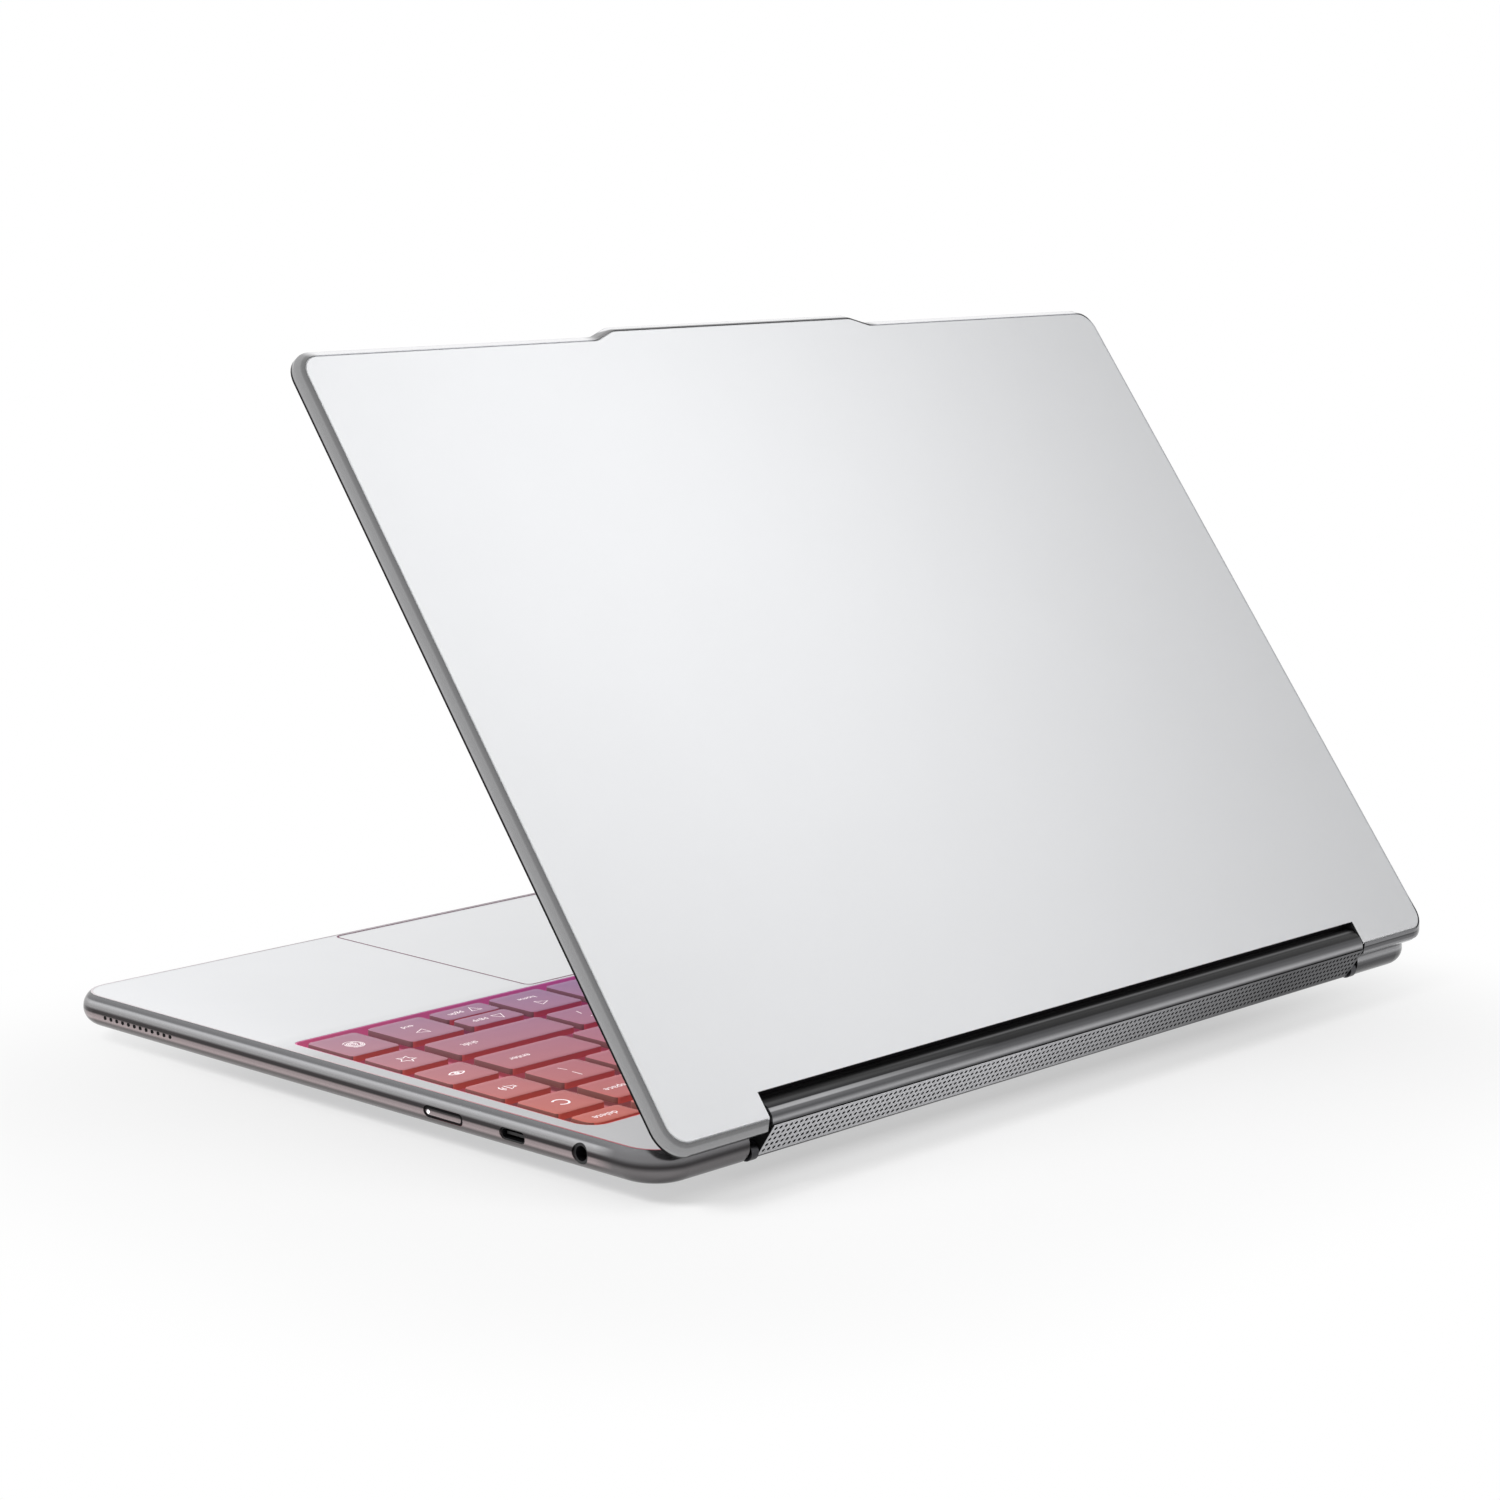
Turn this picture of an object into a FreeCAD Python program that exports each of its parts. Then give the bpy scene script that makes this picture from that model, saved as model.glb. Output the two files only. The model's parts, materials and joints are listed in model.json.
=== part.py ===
import FreeCAD, Part
import math
import os
import Sketcher
from FreeCAD import Placement, Rotation, Vector

# Convertible laptop: the lid folds right round on a bar that turns about two parallel axes.
# Millimetres. +X is the user's right, +Y the hinge side, +Z up, and z = 0 is the table.

doc = FreeCAD.newDocument("convertible_laptop")
sheet = doc.addObject("Spreadsheet::Sheet", "Sizes")

driving_sizes = (
    # Hinge: the base axis, the lid axis above it when closed, and the angle in the photograph.
    ("axis_y", "102.32"),
    ("axis_z", "6.6"),
    ("axis_spacing", "8.8"),
    ("lid_angle", "53.1"),
    # Base rim and deck.
    ("base_width", "316"),
    ("base_depth", "213.1"),
    ("base_overhang", "2.2"),
    ("base_corner", "11"),
    ("deck_top", "12.3"),
    ("deck_thickness", "1.0"),
    ("rim_inset", "2.2"),
    ("rim_wall", "5.0"),
    ("rim_nose_height", "8.4"),
    ("rim_upper_radius", "4.8"),
    ("rim_lower_radius", "4.5"),
    ("rim_land", "0.1"),
    ("fit_clearance", "0.05"),
    ("base_ear_width", "31"),
    ("base_notch_half", "=base_width / 2 - base_ear_width"),
    ("base_notch_reach", "5.6"),
    ("base_notch_wall", "1.5"),
    ("base_ear_wall", "2.0"),
    # Bottom cover and feet.
    ("foot_height", "1.0"),
    ("cover_edge_inset", "4.6"),
    ("cover_slope_inset", "16"),
    ("cover_floor", "1.2"),
    ("cover_rim", "1.5"),
    ("foot_width", "8"),
    ("foot_end_margin", "24"),
    ("foot_length", "=base_width - 2 * (cover_slope_inset + foot_end_margin)"),
    ("foot_inset", "0.5"),
    ("post_width", "5.0"),
    ("vent_length", "40"),
    ("vent_width", "1.6"),
    ("vent_pitch", "5.6"),
    ("vent_count", "6"),
    # Keyboard.
    ("well_side_margin", "6.7"),
    ("well_width", "=base_width - 2 * well_side_margin"),
    ("well_rear_margin", "26.96"),
    ("well_depth", "104.55"),
    ("well_front", "=axis_y + base_overhang - well_rear_margin - well_depth"),
    ("well_corner", "2.5"),
    ("well_rear_corner", "6.0"),
    ("well_sink", "2.9"),
    ("tray_floor", "0.8"),
    ("tray_wall", "0.5"),
    ("keys_side_margin", "2.0"),
    ("special_key_width", "16.0"),
    ("special_column_gap", "3.75"),
    ("keys_left", "=keys_side_margin - well_width / 2"),
    ("special_column_left", "=well_width / 2 - keys_side_margin - special_key_width"),
    ("keys_right", "=special_column_left - special_column_gap"),
    ("keys_front_margin", "6.45"),
    ("keys_rear_margin", "1.05"),
    ("front_row_extra", "3.1"),
    ("key_recess", "0.15"),
    ("key_thickness", "1.2"),
    ("key_gap_x", "2.7"),
    ("key_gap_y", "3.35"),
    ("function_key_depth", "8.3"),
    ("corner_key_bevel", "2.2"),
    ("deep_rows", "5"),
    ("key_rows_depth", "=well_depth - keys_front_margin - keys_rear_margin - function_key_depth"),
    ("key_depth", "=key_rows_depth / deep_rows - key_gap_y"),
    ("arrow_key_width", "18.3"),
    ("arrow_split_gap", "0.8"),
    ("control_key_width", "24.3"),
    ("right_shift_width", "39.7"),
    ("enter_key_width", "31.5"),
    ("slash_key_width", "18.0"),
    ("backspace_width", "30.0"),
    ("accent_key_width", "19.35"),
    ("number_keys", "12"),
    ("number_keys_span", "=keys_right - keys_left - backspace_width - accent_key_width - key_gap_x"),
    ("letter_pitch", "=number_keys_span / number_keys"),
    ("stem_width", "3.0"),
    ("stem_length", "2.95"),
    ("stem_clearance", "0.25"),
    # Touchpad.
    ("touchpad_width", "135.7"),
    ("touchpad_front_margin", "1.0"),
    ("touchpad_rear_margin", "1.2"),
    ("touchpad_clearance", "0.15"),
    ("touchpad_thickness", "1.05"),
    ("touchpad_recess", "0.05"),
    ("touchpad_corner", "2.0"),
    ("touchpad_travel", "0.3"),
    ("touchpad_relief", "1.0"),
    ("bracket_floor", "0.8"),
    ("bracket_wall", "2.0"),
    # Sockets, button and microphones in the rim.
    ("socket_recess", "0.6"),
    ("port_height", "7.85"),
    ("usb_c_width", "8.3"),
    ("usb_c_height", "2.9"),
    ("usb_c_length", "5.2"),
    ("usb_c_wall", "0.3"),
    ("usb_c_right_y", "58.42"),
    ("usb_c_left_y", "70.0"),
    ("tongue_side_gap", "1.05"),
    ("tongue_thickness", "0.7"),
    ("jack_y", "80.42"),
    ("jack_height", "8.2"),
    ("jack_bore", "1.8"),
    ("jack_end", "0.5"),
    ("jack_outer", "2.5"),
    ("jack_length", "9.4"),
    ("button_y", "35.12"),
    ("button_length", "13.2"),
    ("button_height", "2.8"),
    ("button_clearance", "0.12"),
    ("button_flange", "0.3"),
    ("mic_front_margin", "16.3"),
    ("mic_first_y", "=axis_y + base_overhang - base_depth + mic_front_margin"),
    ("mic_pitch", "2.4"),
    ("mic_count", "12"),
    ("mic_height", "8.5"),
    ("mic_board", "1.0"),
    # Lid.
    ("closed_gap", "0.4"),
    ("lid_width", "=base_width"),
    ("lid_overhang", "2.69"),
    ("lid_front_overhang", "0.71"),
    ("lid_depth", "=base_depth - base_overhang + lid_overhang + lid_front_overhang"),
    ("lid_thickness", "4.6"),
    ("lid_corner", "7.5"),
    ("lid_inset", "2.2"),
    ("lid_edge_bevel", "2.0"),
    ("lid_bevel", "1.2"),
    ("lid_wall", "3.9"),
    ("lid_cover", "0.8"),
    ("lid_cover_edge", "0.4"),
    ("bar_side_gap", "3.6"),
    ("bar_half", "=base_notch_half - bar_side_gap"),
    ("lid_notch_gap", "0.6"),
    ("lid_notch_half", "=bar_half + lid_notch_gap"),
    ("lid_notch_depth", "9.05"),
    ("lid_notch_band", "3.0"),
    ("notch_trim", "0.5"),
    ("bump_height", "2.6"),
    ("bump_half", "47.4"),
    ("bump_ramp", "7.1"),
    ("bump_round", "5.5"),
    ("gasket_width", "0.8"),
    ("gasket_proud", "0.2"),
    ("glass_thickness", "0.6"),
    ("glass_recess", "0.1"),
    ("panel_thickness", "2.0"),
    ("panel_side_margin", "1.6"),
    ("panel_width", "=lid_width - 2 * (lid_wall + panel_side_margin)"),
    ("panel_chin", "4.0"),
    ("panel_top_margin", "4.35"),
    ("panel_foot", "=lid_notch_depth + lid_notch_band + panel_chin"),
    ("panel_depth", "=lid_depth - lid_wall - panel_top_margin - panel_foot"),
    ("camera_width", "60"),
    ("camera_depth", "4.0"),
    ("camera_thickness", "2.6"),
    # Hinge bar, its section measured from the base axis with the lid closed.
    ("bar_front", "4.2"),
    ("bar_bottom", "2.0"),
    ("bar_top", "11.6"),
    ("bar_rear_low", "1.40"),
    ("bar_rear_high", "2.75"),
    ("bar_round", "4.0"),
    ("bar_small_round", "1.6"),
    ("bar_wall", "1.0"),
    ("grille_foot", "1.5"),
    ("grille_head", "2.6"),
    ("grille_low", "=grille_foot - bar_bottom"),
    ("grille_high", "=bar_top - grille_head"),
    ("grille_thickness", "0.4"),
    ("grille_ledge", "0.6"),
    ("grille_end_gap", "0.2"),
    ("cap_flange", "8.0"),
    ("window_margin", "9.0"),
    ("base_pin_radius", "0.9"),
    ("lid_pin_radius", "1.0"),
    ("pin_clearance", "0.05"),
    ("pin_reach", "7.0"),
    ("lid_pin_seat", "13.0"),
    ("arm_gap", "0.5"),
    ("arm_thickness", "2.4"),
    ("arm_barrel", "2.2"),
    ("arm_height", "2.6"),
    ("arm_slot_clearance", "0.2"),
    ("arm_foot_length", "16"),
    ("arm_foot_width", "14"),
    ("tweeter_length", "36"),
    ("tweeter_end_inset", "53.4"),
    ("tweeter_offset", "=bar_half - tweeter_end_inset"),
    ("tweeter_gap", "0.3"),
    # Inside the base.
    ("fan_size", "48"),
    ("fan_side_inset", "74"),
    ("fan_offset", "=base_width / 2 - fan_side_inset"),
    ("board_fan_gap", "4"),
    ("board_half", "=fan_offset - fan_size / 2 - board_fan_gap"),
    ("board_front", "2"),
    ("board_rear", "91"),
    ("board_lift", "2.0"),
    ("board_thickness", "1.0"),
    ("chip_half", "14"),
    ("chip_depth", "12"),
    ("chip_height", "1.1"),
    ("pipe_width", "6"),
    ("pipe_height", "1.5"),
    ("pipe_overlap", "19"),
    ("pipe_half", "=fan_offset + pipe_overlap"),
    ("fan_height", "4.0"),
    ("fan_wall", "0.7"),
    ("fan_hub", "8.0"),
    ("fan_blade_reach", "20.5"),
    ("fan_blade_count", "9"),
    ("fan_blade_width", "0.6"),
    ("fan_axle", "1.0"),
    ("fan_axial_gap", "0.3"),
    ("fan_rim_clearance", "1.2"),
    ("sink_depth", "4.0"),
    ("sink_gap", "0.2"),
    ("fin_count", "9"),
    ("fin_thickness", "0.8"),
    ("battery_inset", "6"),
    ("battery_depth", "58"),
    ("battery_height", "5.6"),
    ("battery_cells", "4"),
    ("cell_groove", "1.0"),
    ("card_width", "22"),
    ("card_length", "70"),
    ("wireless_length", "30"),
    ("card_height", "1.0"),
    ("card_inset", "3"),
    ("woofer_inset", "5"),
    ("woofer_width", "17"),
    ("woofer_depth", "44"),
    ("woofer_height", "5.2"),
    ("woofer_side_margin", "6.5"),
    ("inner_gap", "0.5"),
    ("battery_side", "=cover_slope_inset + cover_rim + woofer_side_margin + woofer_width + 2 * inner_gap"),
    ("battery_width", "=base_width - 2 * battery_side"),
)


class Size:
    # A length: its value now, and the spreadsheet expression that gives it.
    def __init__(self, value, text):
        self.value = value
        self.text = text

    def __add__(self, other):
        other = as_size(other)
        return Size(self.value + other.value, f"({self.text} + {other.text})")

    def __sub__(self, other):
        other = as_size(other)
        return Size(self.value - other.value, f"({self.text} - {other.text})")

    def __mul__(self, factor):
        return Size(self.value * factor, f"({self.text} * {factor})")

    def __truediv__(self, factor):
        return Size(self.value / factor, f"({self.text} / {factor})")

    def __neg__(self):
        return self * -1


def as_size(value):
    if isinstance(value, Size):
        return value
    return Size(value, f"({value})")


class SizeTable:
    pass


def read_sizes():
    table = SizeTable()
    for row, (name, text) in enumerate(driving_sizes, start=1):
        sheet.set(f"A{row}", name)
        sheet.set(f"B{row}", text)
        sheet.setAlias(f"B{row}", name)
    doc.recompute()
    for name, text in driving_sizes:
        setattr(table, name, Size(float(sheet.get(name)), f"Sizes.{name}"))
    return table


size = read_sizes()
nodes = []


def keep(item, label, placement=None):
    item.Label = label
    if placement is not None:
        item.Placement = placement
    nodes.append(item)
    return item


def bind(item, name, length):
    item.setExpression(name, as_size(length).text)


# Primitives whose sizes and places follow the spreadsheet.

def box(name, x, y, z):
    item = doc.addObject("Part::Box", name)
    for side, place, (low, high) in zip(("Length", "Width", "Height"), "xyz", (x, y, z)):
        bind(item, side, as_size(high) - low)
        bind(item, f"Placement.Base.{place}", low)
    return item


def rod(name, x, y, z, radius):
    item = doc.addObject("Part::Cylinder", name)
    item.Placement = Placement(Vector(), Rotation(Vector(0, 1, 0), 90))
    bind(item, "Radius", radius)
    bind(item, "Height", as_size(x[1]) - x[0])
    bind(item, "Placement.Base.x", x[0])
    bind(item, "Placement.Base.y", y)
    bind(item, "Placement.Base.z", z)
    return item


def fuse(name, items):
    item = doc.addObject("Part::MultiFuse", name)
    item.Shapes = items
    return item


def cut(name, solid, tool):
    item = doc.addObject("Part::Cut", name)
    item.Base = solid
    item.Tool = tool
    return item


def group(name, items):
    item = doc.addObject("Part::Compound", name)
    item.Links = items
    return item


# Bodies, sketches and features.

def new_body(name):
    return doc.addObject("PartDesign::Body", name)


def new_sketch(body, name, role="XY_Plane", offset=0.0):
    sketch = body.newObject("Sketcher::SketchObject", name)
    plane = [item for item in body.Origin.OriginFeatures if item.Role == role][0]
    sketch.AttachmentSupport = [(plane, "")]
    sketch.MapMode = "FlatFace"
    bind(sketch, "AttachmentOffset.Base.z", offset)
    return sketch


def pin_point(sketch, geometry, end, x, y):
    for kind, length in (("DistanceX", x), ("DistanceY", y)):
        number = sketch.addConstraint(Sketcher.Constraint(kind, -1, 1, geometry, end, length.value))
        sketch.setExpression(f"Constraints[{number}]", length.text)


def set_radius(sketch, geometry, radius):
    number = sketch.addConstraint(Sketcher.Constraint("Radius", geometry, radius.value))
    sketch.setExpression(f"Constraints[{number}]", radius.text)


def corner_arc(before, corner, after, radius):
    # Start, middle and end of the arc that rounds one corner of an outline.
    to_before = (before - corner).normalize()
    to_after = (after - corner).normalize()
    half_angle = to_before.getAngle(to_after) / 2
    reach = radius / math.tan(half_angle)
    bisector = (to_before + to_after).normalize()
    middle = corner + bisector * (radius / math.sin(half_angle) - radius)
    return corner + to_before * reach, middle, corner + to_after * reach


def outline(sketch, corners):
    # A closed outline of straight sides. Each corner is (x, y, radius), sharp where the radius is None.
    points = [Vector(x.value, y.value, 0) for x, y, radius in corners]
    count = len(corners)
    starts = list(points)
    ends = list(points)
    arcs = {}
    for i, (x, y, radius) in enumerate(corners):
        if radius is not None:
            arc = corner_arc(points[i - 1], points[i], points[(i + 1) % count], radius.value)
            starts[i], middle, ends[i] = arc
            arcs[i] = sketch.addGeometry(Part.Arc(*arc))
    lines = []
    for i in range(count):
        lines.append(sketch.addGeometry(Part.LineSegment(ends[i], starts[(i + 1) % count])))
    for i, (x, y, radius) in enumerate(corners):
        before, after = lines[i - 1], lines[i]
        if radius is None:
            sketch.addConstraint(Sketcher.Constraint("Coincident", before, 2, after, 1))
            pin_point(sketch, after, 1, x, y)
            continue
        first = 1 if sketch.getPoint(arcs[i], 1).distanceToPoint(starts[i]) < 1e-6 else 2
        sketch.addConstraint(Sketcher.Constraint("Tangent", before, 2, arcs[i], first))
        sketch.addConstraint(Sketcher.Constraint("Tangent", arcs[i], 3 - first, after, 1))
        set_radius(sketch, arcs[i], radius)
        corner = sketch.addGeometry(Part.Point(points[i]), True)
        pin_point(sketch, corner, 1, x, y)
        sketch.addConstraint(Sketcher.Constraint("PointOnObject", corner, 1, before))
        sketch.addConstraint(Sketcher.Constraint("PointOnObject", corner, 1, after))


def around(middle, half):
    return middle - half, middle + half


def middle_of(span):
    return (span[0] + span[1]) / 2


def rectangle(sketch, x, y, radius=None):
    (west, east), (south, north) = x, y
    sides = ((west, south), (east, south), (east, north), (west, north))
    outline(sketch, [(as_size(a), as_size(b), radius) for a, b in sides])


def circle(sketch, x, y, radius):
    shape = Part.Circle(Vector(x.value, y.value, 0), Vector(0, 0, 1), radius.value)
    number = sketch.addGeometry(shape)
    pin_point(sketch, number, 3, x, y)
    set_radius(sketch, number, radius)


def pad(body, sketch, length, symmetric=False):
    feature = body.newObject("PartDesign::Pad", sketch.Name + "_pad")
    feature.Profile = sketch
    bind(feature, "Length", length)
    if symmetric:
        feature.SideType = "Symmetric"
    doc.recompute()
    return feature


def pocket(body, sketch, length=None, backwards=False, symmetric=False):
    before = body.Shape.Volume
    feature = body.newObject("PartDesign::Pocket", sketch.Name + "_pocket")
    feature.Profile = sketch
    feature.Reversed = backwards
    if length is None:
        feature.Type = "ThroughAll"
    else:
        bind(feature, "Length", length)
    if symmetric:
        feature.SideType = "Symmetric"
    doc.recompute()
    if body.Shape.Volume >= before:
        raise RuntimeError(sketch.Name + " cuts nothing")
    return feature


def edges_at(feature, height):
    names = []
    for number, edge in enumerate(feature.Shape.Edges, start=1):
        bounds = edge.BoundBox
        if abs(bounds.ZMin - height.value) < 1e-6 and abs(bounds.ZMax - height.value) < 1e-6:
            names.append(f"Edge{number}")
    return names


def fillet(body, feature, height, radius):
    # Rounds the loop of edges that lies at one height.
    rounding = body.newObject("PartDesign::Fillet", f"{feature.Name}_round_{len(body.Group)}")
    rounding.Base = (feature, edges_at(feature, height))
    bind(rounding, "Radius", radius)
    doc.recompute()
    return rounding


def chamfer(body, feature, height, leg):
    # Bevels the loop of edges that lies at one height.
    bevel = body.newObject("PartDesign::Chamfer", f"{feature.Name}_bevel_{len(body.Group)}")
    bevel.Base = (feature, edges_at(feature, height))
    bind(bevel, "Size", leg)
    doc.recompute()
    return bevel


def row_of(body, feature, axis_sketch, axis, pitch, count):
    pattern = body.newObject("PartDesign::LinearPattern", feature.Name + "_row")
    pattern.Originals = [feature]
    pattern.Direction = (axis_sketch, [axis])
    pattern.Mode = "Spacing"
    bind(pattern, "Offset", pitch)
    bind(pattern, "Occurrences", count)
    body.Tip = pattern
    doc.recompute()
    return pattern


# Places shared by several pieces.

origin = as_size(0.0)
base_x = size.base_width / 2
base_rear = size.axis_y + size.base_overhang
base_front = base_rear - size.base_depth
rim_bottom = size.rim_nose_height - size.rim_lower_radius
deck_bottom = size.deck_top - size.deck_thickness
notch_front = size.axis_y - size.base_notch_reach
inner_rear = notch_front - size.base_notch_wall
cover_inside = size.foot_height + size.cover_floor
well_x = size.well_width / 2
well_rear = size.well_front + size.well_depth
tray_top = size.deck_top - size.well_sink
touchpad_x = size.touchpad_width / 2
touchpad_front = base_front + size.rim_inset + size.touchpad_front_margin
touchpad_rear = size.well_front - size.touchpad_rear_margin
lid_inside = size.deck_top + size.closed_gap
lid_outside = lid_inside + size.lid_thickness
lid_x = size.lid_width / 2
lid_rear = size.axis_y + size.lid_overhang
lid_front = lid_rear - size.lid_depth
cover_seat = lid_outside - size.lid_cover
lid_axis_z = size.axis_z + size.axis_spacing

half_turn = Rotation(Vector(-1, 0, 0), size.lid_angle.value / 2)
base_axis = Vector(0, size.axis_y.value, size.axis_z.value)
lid_axis = Vector(0, size.axis_y.value, lid_axis_z.value)
bar_pose = Placement(Vector(), half_turn, base_axis)
lid_pose = bar_pose.multiply(Placement(Vector(), half_turn, lid_axis))


def well_corners(grow):
    # The keyboard well, small corners in front and larger ones behind, let out all round.
    small, large = size.well_corner + grow, size.well_rear_corner + grow
    west, east = -well_x - grow, well_x + grow
    south, north = size.well_front - grow, well_rear + grow
    return [(west, south, small), (east, south, small), (east, north, large), (west, north, large)]


def base_span(inset):
    # X and Y limits of the base outline, drawn in by an inset.
    return (-base_x + inset, base_x - inset), (base_front + inset, base_rear - inset)


# Base rim: a full-round nose all round, opened for the deck, the hinge bar and the sockets.

def side_sketch(body, name, right=True):
    offset = base_x + size.socket_recess if right else -base_x - size.socket_recess
    return new_sketch(body, name, "YZ_Plane", offset)


def slot_at(sketch, y, z, width, height):
    radius = height / 2 - size.fit_clearance
    rectangle(sketch, (y - width / 2, y + width / 2), (z - height / 2, z + height / 2), radius)


def make_base_frame():
    body = new_body("base_frame")
    blank = new_sketch(body, "rim_outline", offset=rim_bottom)
    rectangle(blank, *base_span(0.0), size.base_corner)
    height = size.rim_lower_radius + size.rim_land + size.rim_upper_radius
    solid = pad(body, blank, height)
    solid = fillet(body, solid, rim_bottom, size.rim_lower_radius)
    fillet(body, solid, rim_bottom + height, size.rim_upper_radius)
    crown = new_sketch(body, "rim_crown", offset=size.deck_top)
    rectangle(crown, *base_span(-size.rim_wall))
    pocket(body, crown, backwards=True)
    seat = new_sketch(body, "deck_seat", offset=size.deck_top)
    seat_inset = size.rim_inset - size.fit_clearance
    rectangle(seat, *base_span(seat_inset), size.base_corner - seat_inset)
    pocket(body, seat, size.deck_thickness)
    inside = new_sketch(body, "rim_inside", offset=deck_bottom)
    (west, east), (south, north) = base_span(size.rim_wall)
    ear = size.base_notch_half + size.base_ear_wall
    corner = size.base_corner - size.rim_wall
    outline(inside, [
        (west, south, corner), (east, south, corner), (east, north, corner), (ear, north, None),
        (ear, inner_rear, None), (-ear, inner_rear, None), (-ear, north, None), (west, north, corner)])
    pocket(body, inside)
    relief = new_sketch(body, "touchpad_relief", offset=deck_bottom)
    loose = size.touchpad_clearance
    rectangle(relief, around(origin, touchpad_x + loose), (touchpad_front - loose, south + loose))
    pocket(body, relief, size.touchpad_relief)
    notch = new_sketch(body, "bar_notch", offset=size.deck_top)
    beyond = base_rear + size.rim_wall
    rectangle(notch, (-size.base_notch_half, size.base_notch_half), (notch_front, beyond))
    pocket(body, notch)
    cut_arm_slots(body)
    cut_sockets(body)
    return keep(body, "base_frame")


def arm_span(side):
    inner = size.bar_half + size.arm_gap
    outer = inner + size.arm_thickness
    return (inner, outer) if side > 0 else (-outer, -inner)


def cut_arm_slots(body):
    gap = size.arm_slot_clearance
    half = size.arm_height / 2 + gap
    for side, name in ((1, "arm_slot_right"), (-1, "arm_slot_left")):
        sketch = new_sketch(body, name, "XZ_Plane", -notch_front)
        low, high = arm_span(side)
        rectangle(sketch, (low - gap, high + gap), (size.axis_z - half, size.axis_z + half))
        pocket(body, sketch, (size.base_notch_wall + gap) * 2, symmetric=True)


def cut_sockets(body):
    depth = size.rim_wall + size.socket_recess * 2
    gap = size.fit_clearance * 2
    right = side_sketch(body, "right_sockets")
    slot_at(right, size.usb_c_right_y, size.port_height, size.usb_c_width + gap, size.usb_c_height + gap)
    loose = size.button_clearance * 2
    slot_at(right, size.button_y, size.port_height, size.button_length + loose, size.button_height + loose)
    circle(right, size.jack_y, size.jack_height, size.jack_outer + size.fit_clearance)
    pocket(body, right, depth)
    left = side_sketch(body, "left_sockets", right=False)
    slot_at(left, size.usb_c_left_y, size.port_height, size.usb_c_width + gap, size.usb_c_height + gap)
    pocket(body, left, depth, backwards=True)


# White deck plate with the keyboard well and the touchpad opening.

def make_deck_plate():
    body = new_body("deck_plate")
    sheet_outline = new_sketch(body, "deck_outline", offset=deck_bottom)
    rectangle(sheet_outline, *base_span(size.rim_inset), size.base_corner - size.rim_inset)
    pad(body, sheet_outline, size.deck_thickness)
    openings = new_sketch(body, "deck_openings", offset=size.deck_top)
    outline(openings, well_corners(origin))
    gap = size.touchpad_clearance
    rectangle(openings, (-touchpad_x - gap, touchpad_x + gap),
              (touchpad_front - gap, touchpad_rear + gap), size.touchpad_corner + gap)
    pocket(body, openings)
    notch = new_sketch(body, "deck_notch", offset=size.deck_top)
    rectangle(notch, (-size.base_notch_half, size.base_notch_half), (notch_front, base_rear))
    pocket(body, notch)
    return keep(body, "deck_plate")


# Bottom cover: a shallow dish with sloped edges, vents below the fans and posts for the board.

fan_places = ((1, "right"), (-1, "left"))
fan_rear = base_rear - size.cover_slope_inset - size.cover_rim - size.inner_gap
fan_y = fan_rear - size.fan_size / 2


def cover_span():
    return base_span(size.cover_slope_inset + size.cover_rim)


def make_bottom_cover():
    body = new_body("cover_dish")
    upper = new_sketch(body, "cover_upper", offset=rim_bottom)
    rectangle(upper, *base_span(size.cover_edge_inset), size.base_corner - size.cover_edge_inset)
    lower = new_sketch(body, "cover_lower", offset=size.foot_height)
    rectangle(lower, *base_span(size.cover_slope_inset), size.base_corner - size.cover_edge_inset)
    dish = body.newObject("PartDesign::AdditiveLoft", "cover_loft")
    dish.Profile = upper
    dish.Sections = [lower]
    dish.Ruled = True
    doc.recompute()
    inside = new_sketch(body, "cover_inside", offset=rim_bottom)
    rectangle(inside, *cover_span())
    pocket(body, inside, rim_bottom - cover_inside)
    notch = new_sketch(body, "cover_notch", offset=rim_bottom)
    rectangle(notch, (-size.base_notch_half, size.base_notch_half), (notch_front, base_rear))
    pocket(body, notch)
    for side, name in fan_places:
        slot = new_sketch(body, f"vent_{name}", offset=cover_inside)
        middle = size.fan_offset * side
        first = fan_y - size.vent_pitch * (size.vent_count.value - 1) / 2
        rectangle(slot, around(middle, size.vent_length / 2), around(first, size.vent_width / 2))
        row_of(body, pocket(body, slot, size.cover_floor), slot, "V_Axis", size.vent_pitch, size.vent_count)
    posts = []
    for number, (x, y) in enumerate(board_posts()):
        half = size.post_width / 2
        posts.append(box(f"board_post_{number}", around(x, half), around(y, half),
                         (cover_inside, board_bottom)))
    return keep(fuse("bottom_cover", [body] + posts), "bottom_cover")


def make_feet():
    (west, east), (south, north) = base_span(size.cover_slope_inset)
    front = south + size.foot_inset
    rear = north - size.foot_inset - size.foot_width
    for label, y in (("front_foot", front), ("rear_foot", rear)):
        body = new_body(label)
        strip = new_sketch(body, label + "_outline")
        half = size.foot_length / 2
        rectangle(strip, (-half, half), (y, y + size.foot_width))
        pad(body, strip, size.foot_height)
        keep(body, label)


# Keyboard: a tray with a guide slot for the stems of every row of keycaps.

key_top = size.deck_top - size.key_recess
key_bottom = key_top - size.key_thickness
row_pitch = size.key_depth + size.key_gap_y
first_row = size.well_front + size.keys_front_margin


def row_span(row):
    front = first_row + row_pitch * row
    depth = size.function_key_depth if row == 5 else size.key_depth
    if row == 0:
        return front - size.front_row_extra, front + depth
    return front, front + depth


def spread(left, widths):
    # X limits of keys laid side by side from the left.
    spans = []
    for width in widths:
        spans.append((left, left + width))
        left = left + width + size.key_gap_x
    return spans


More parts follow.
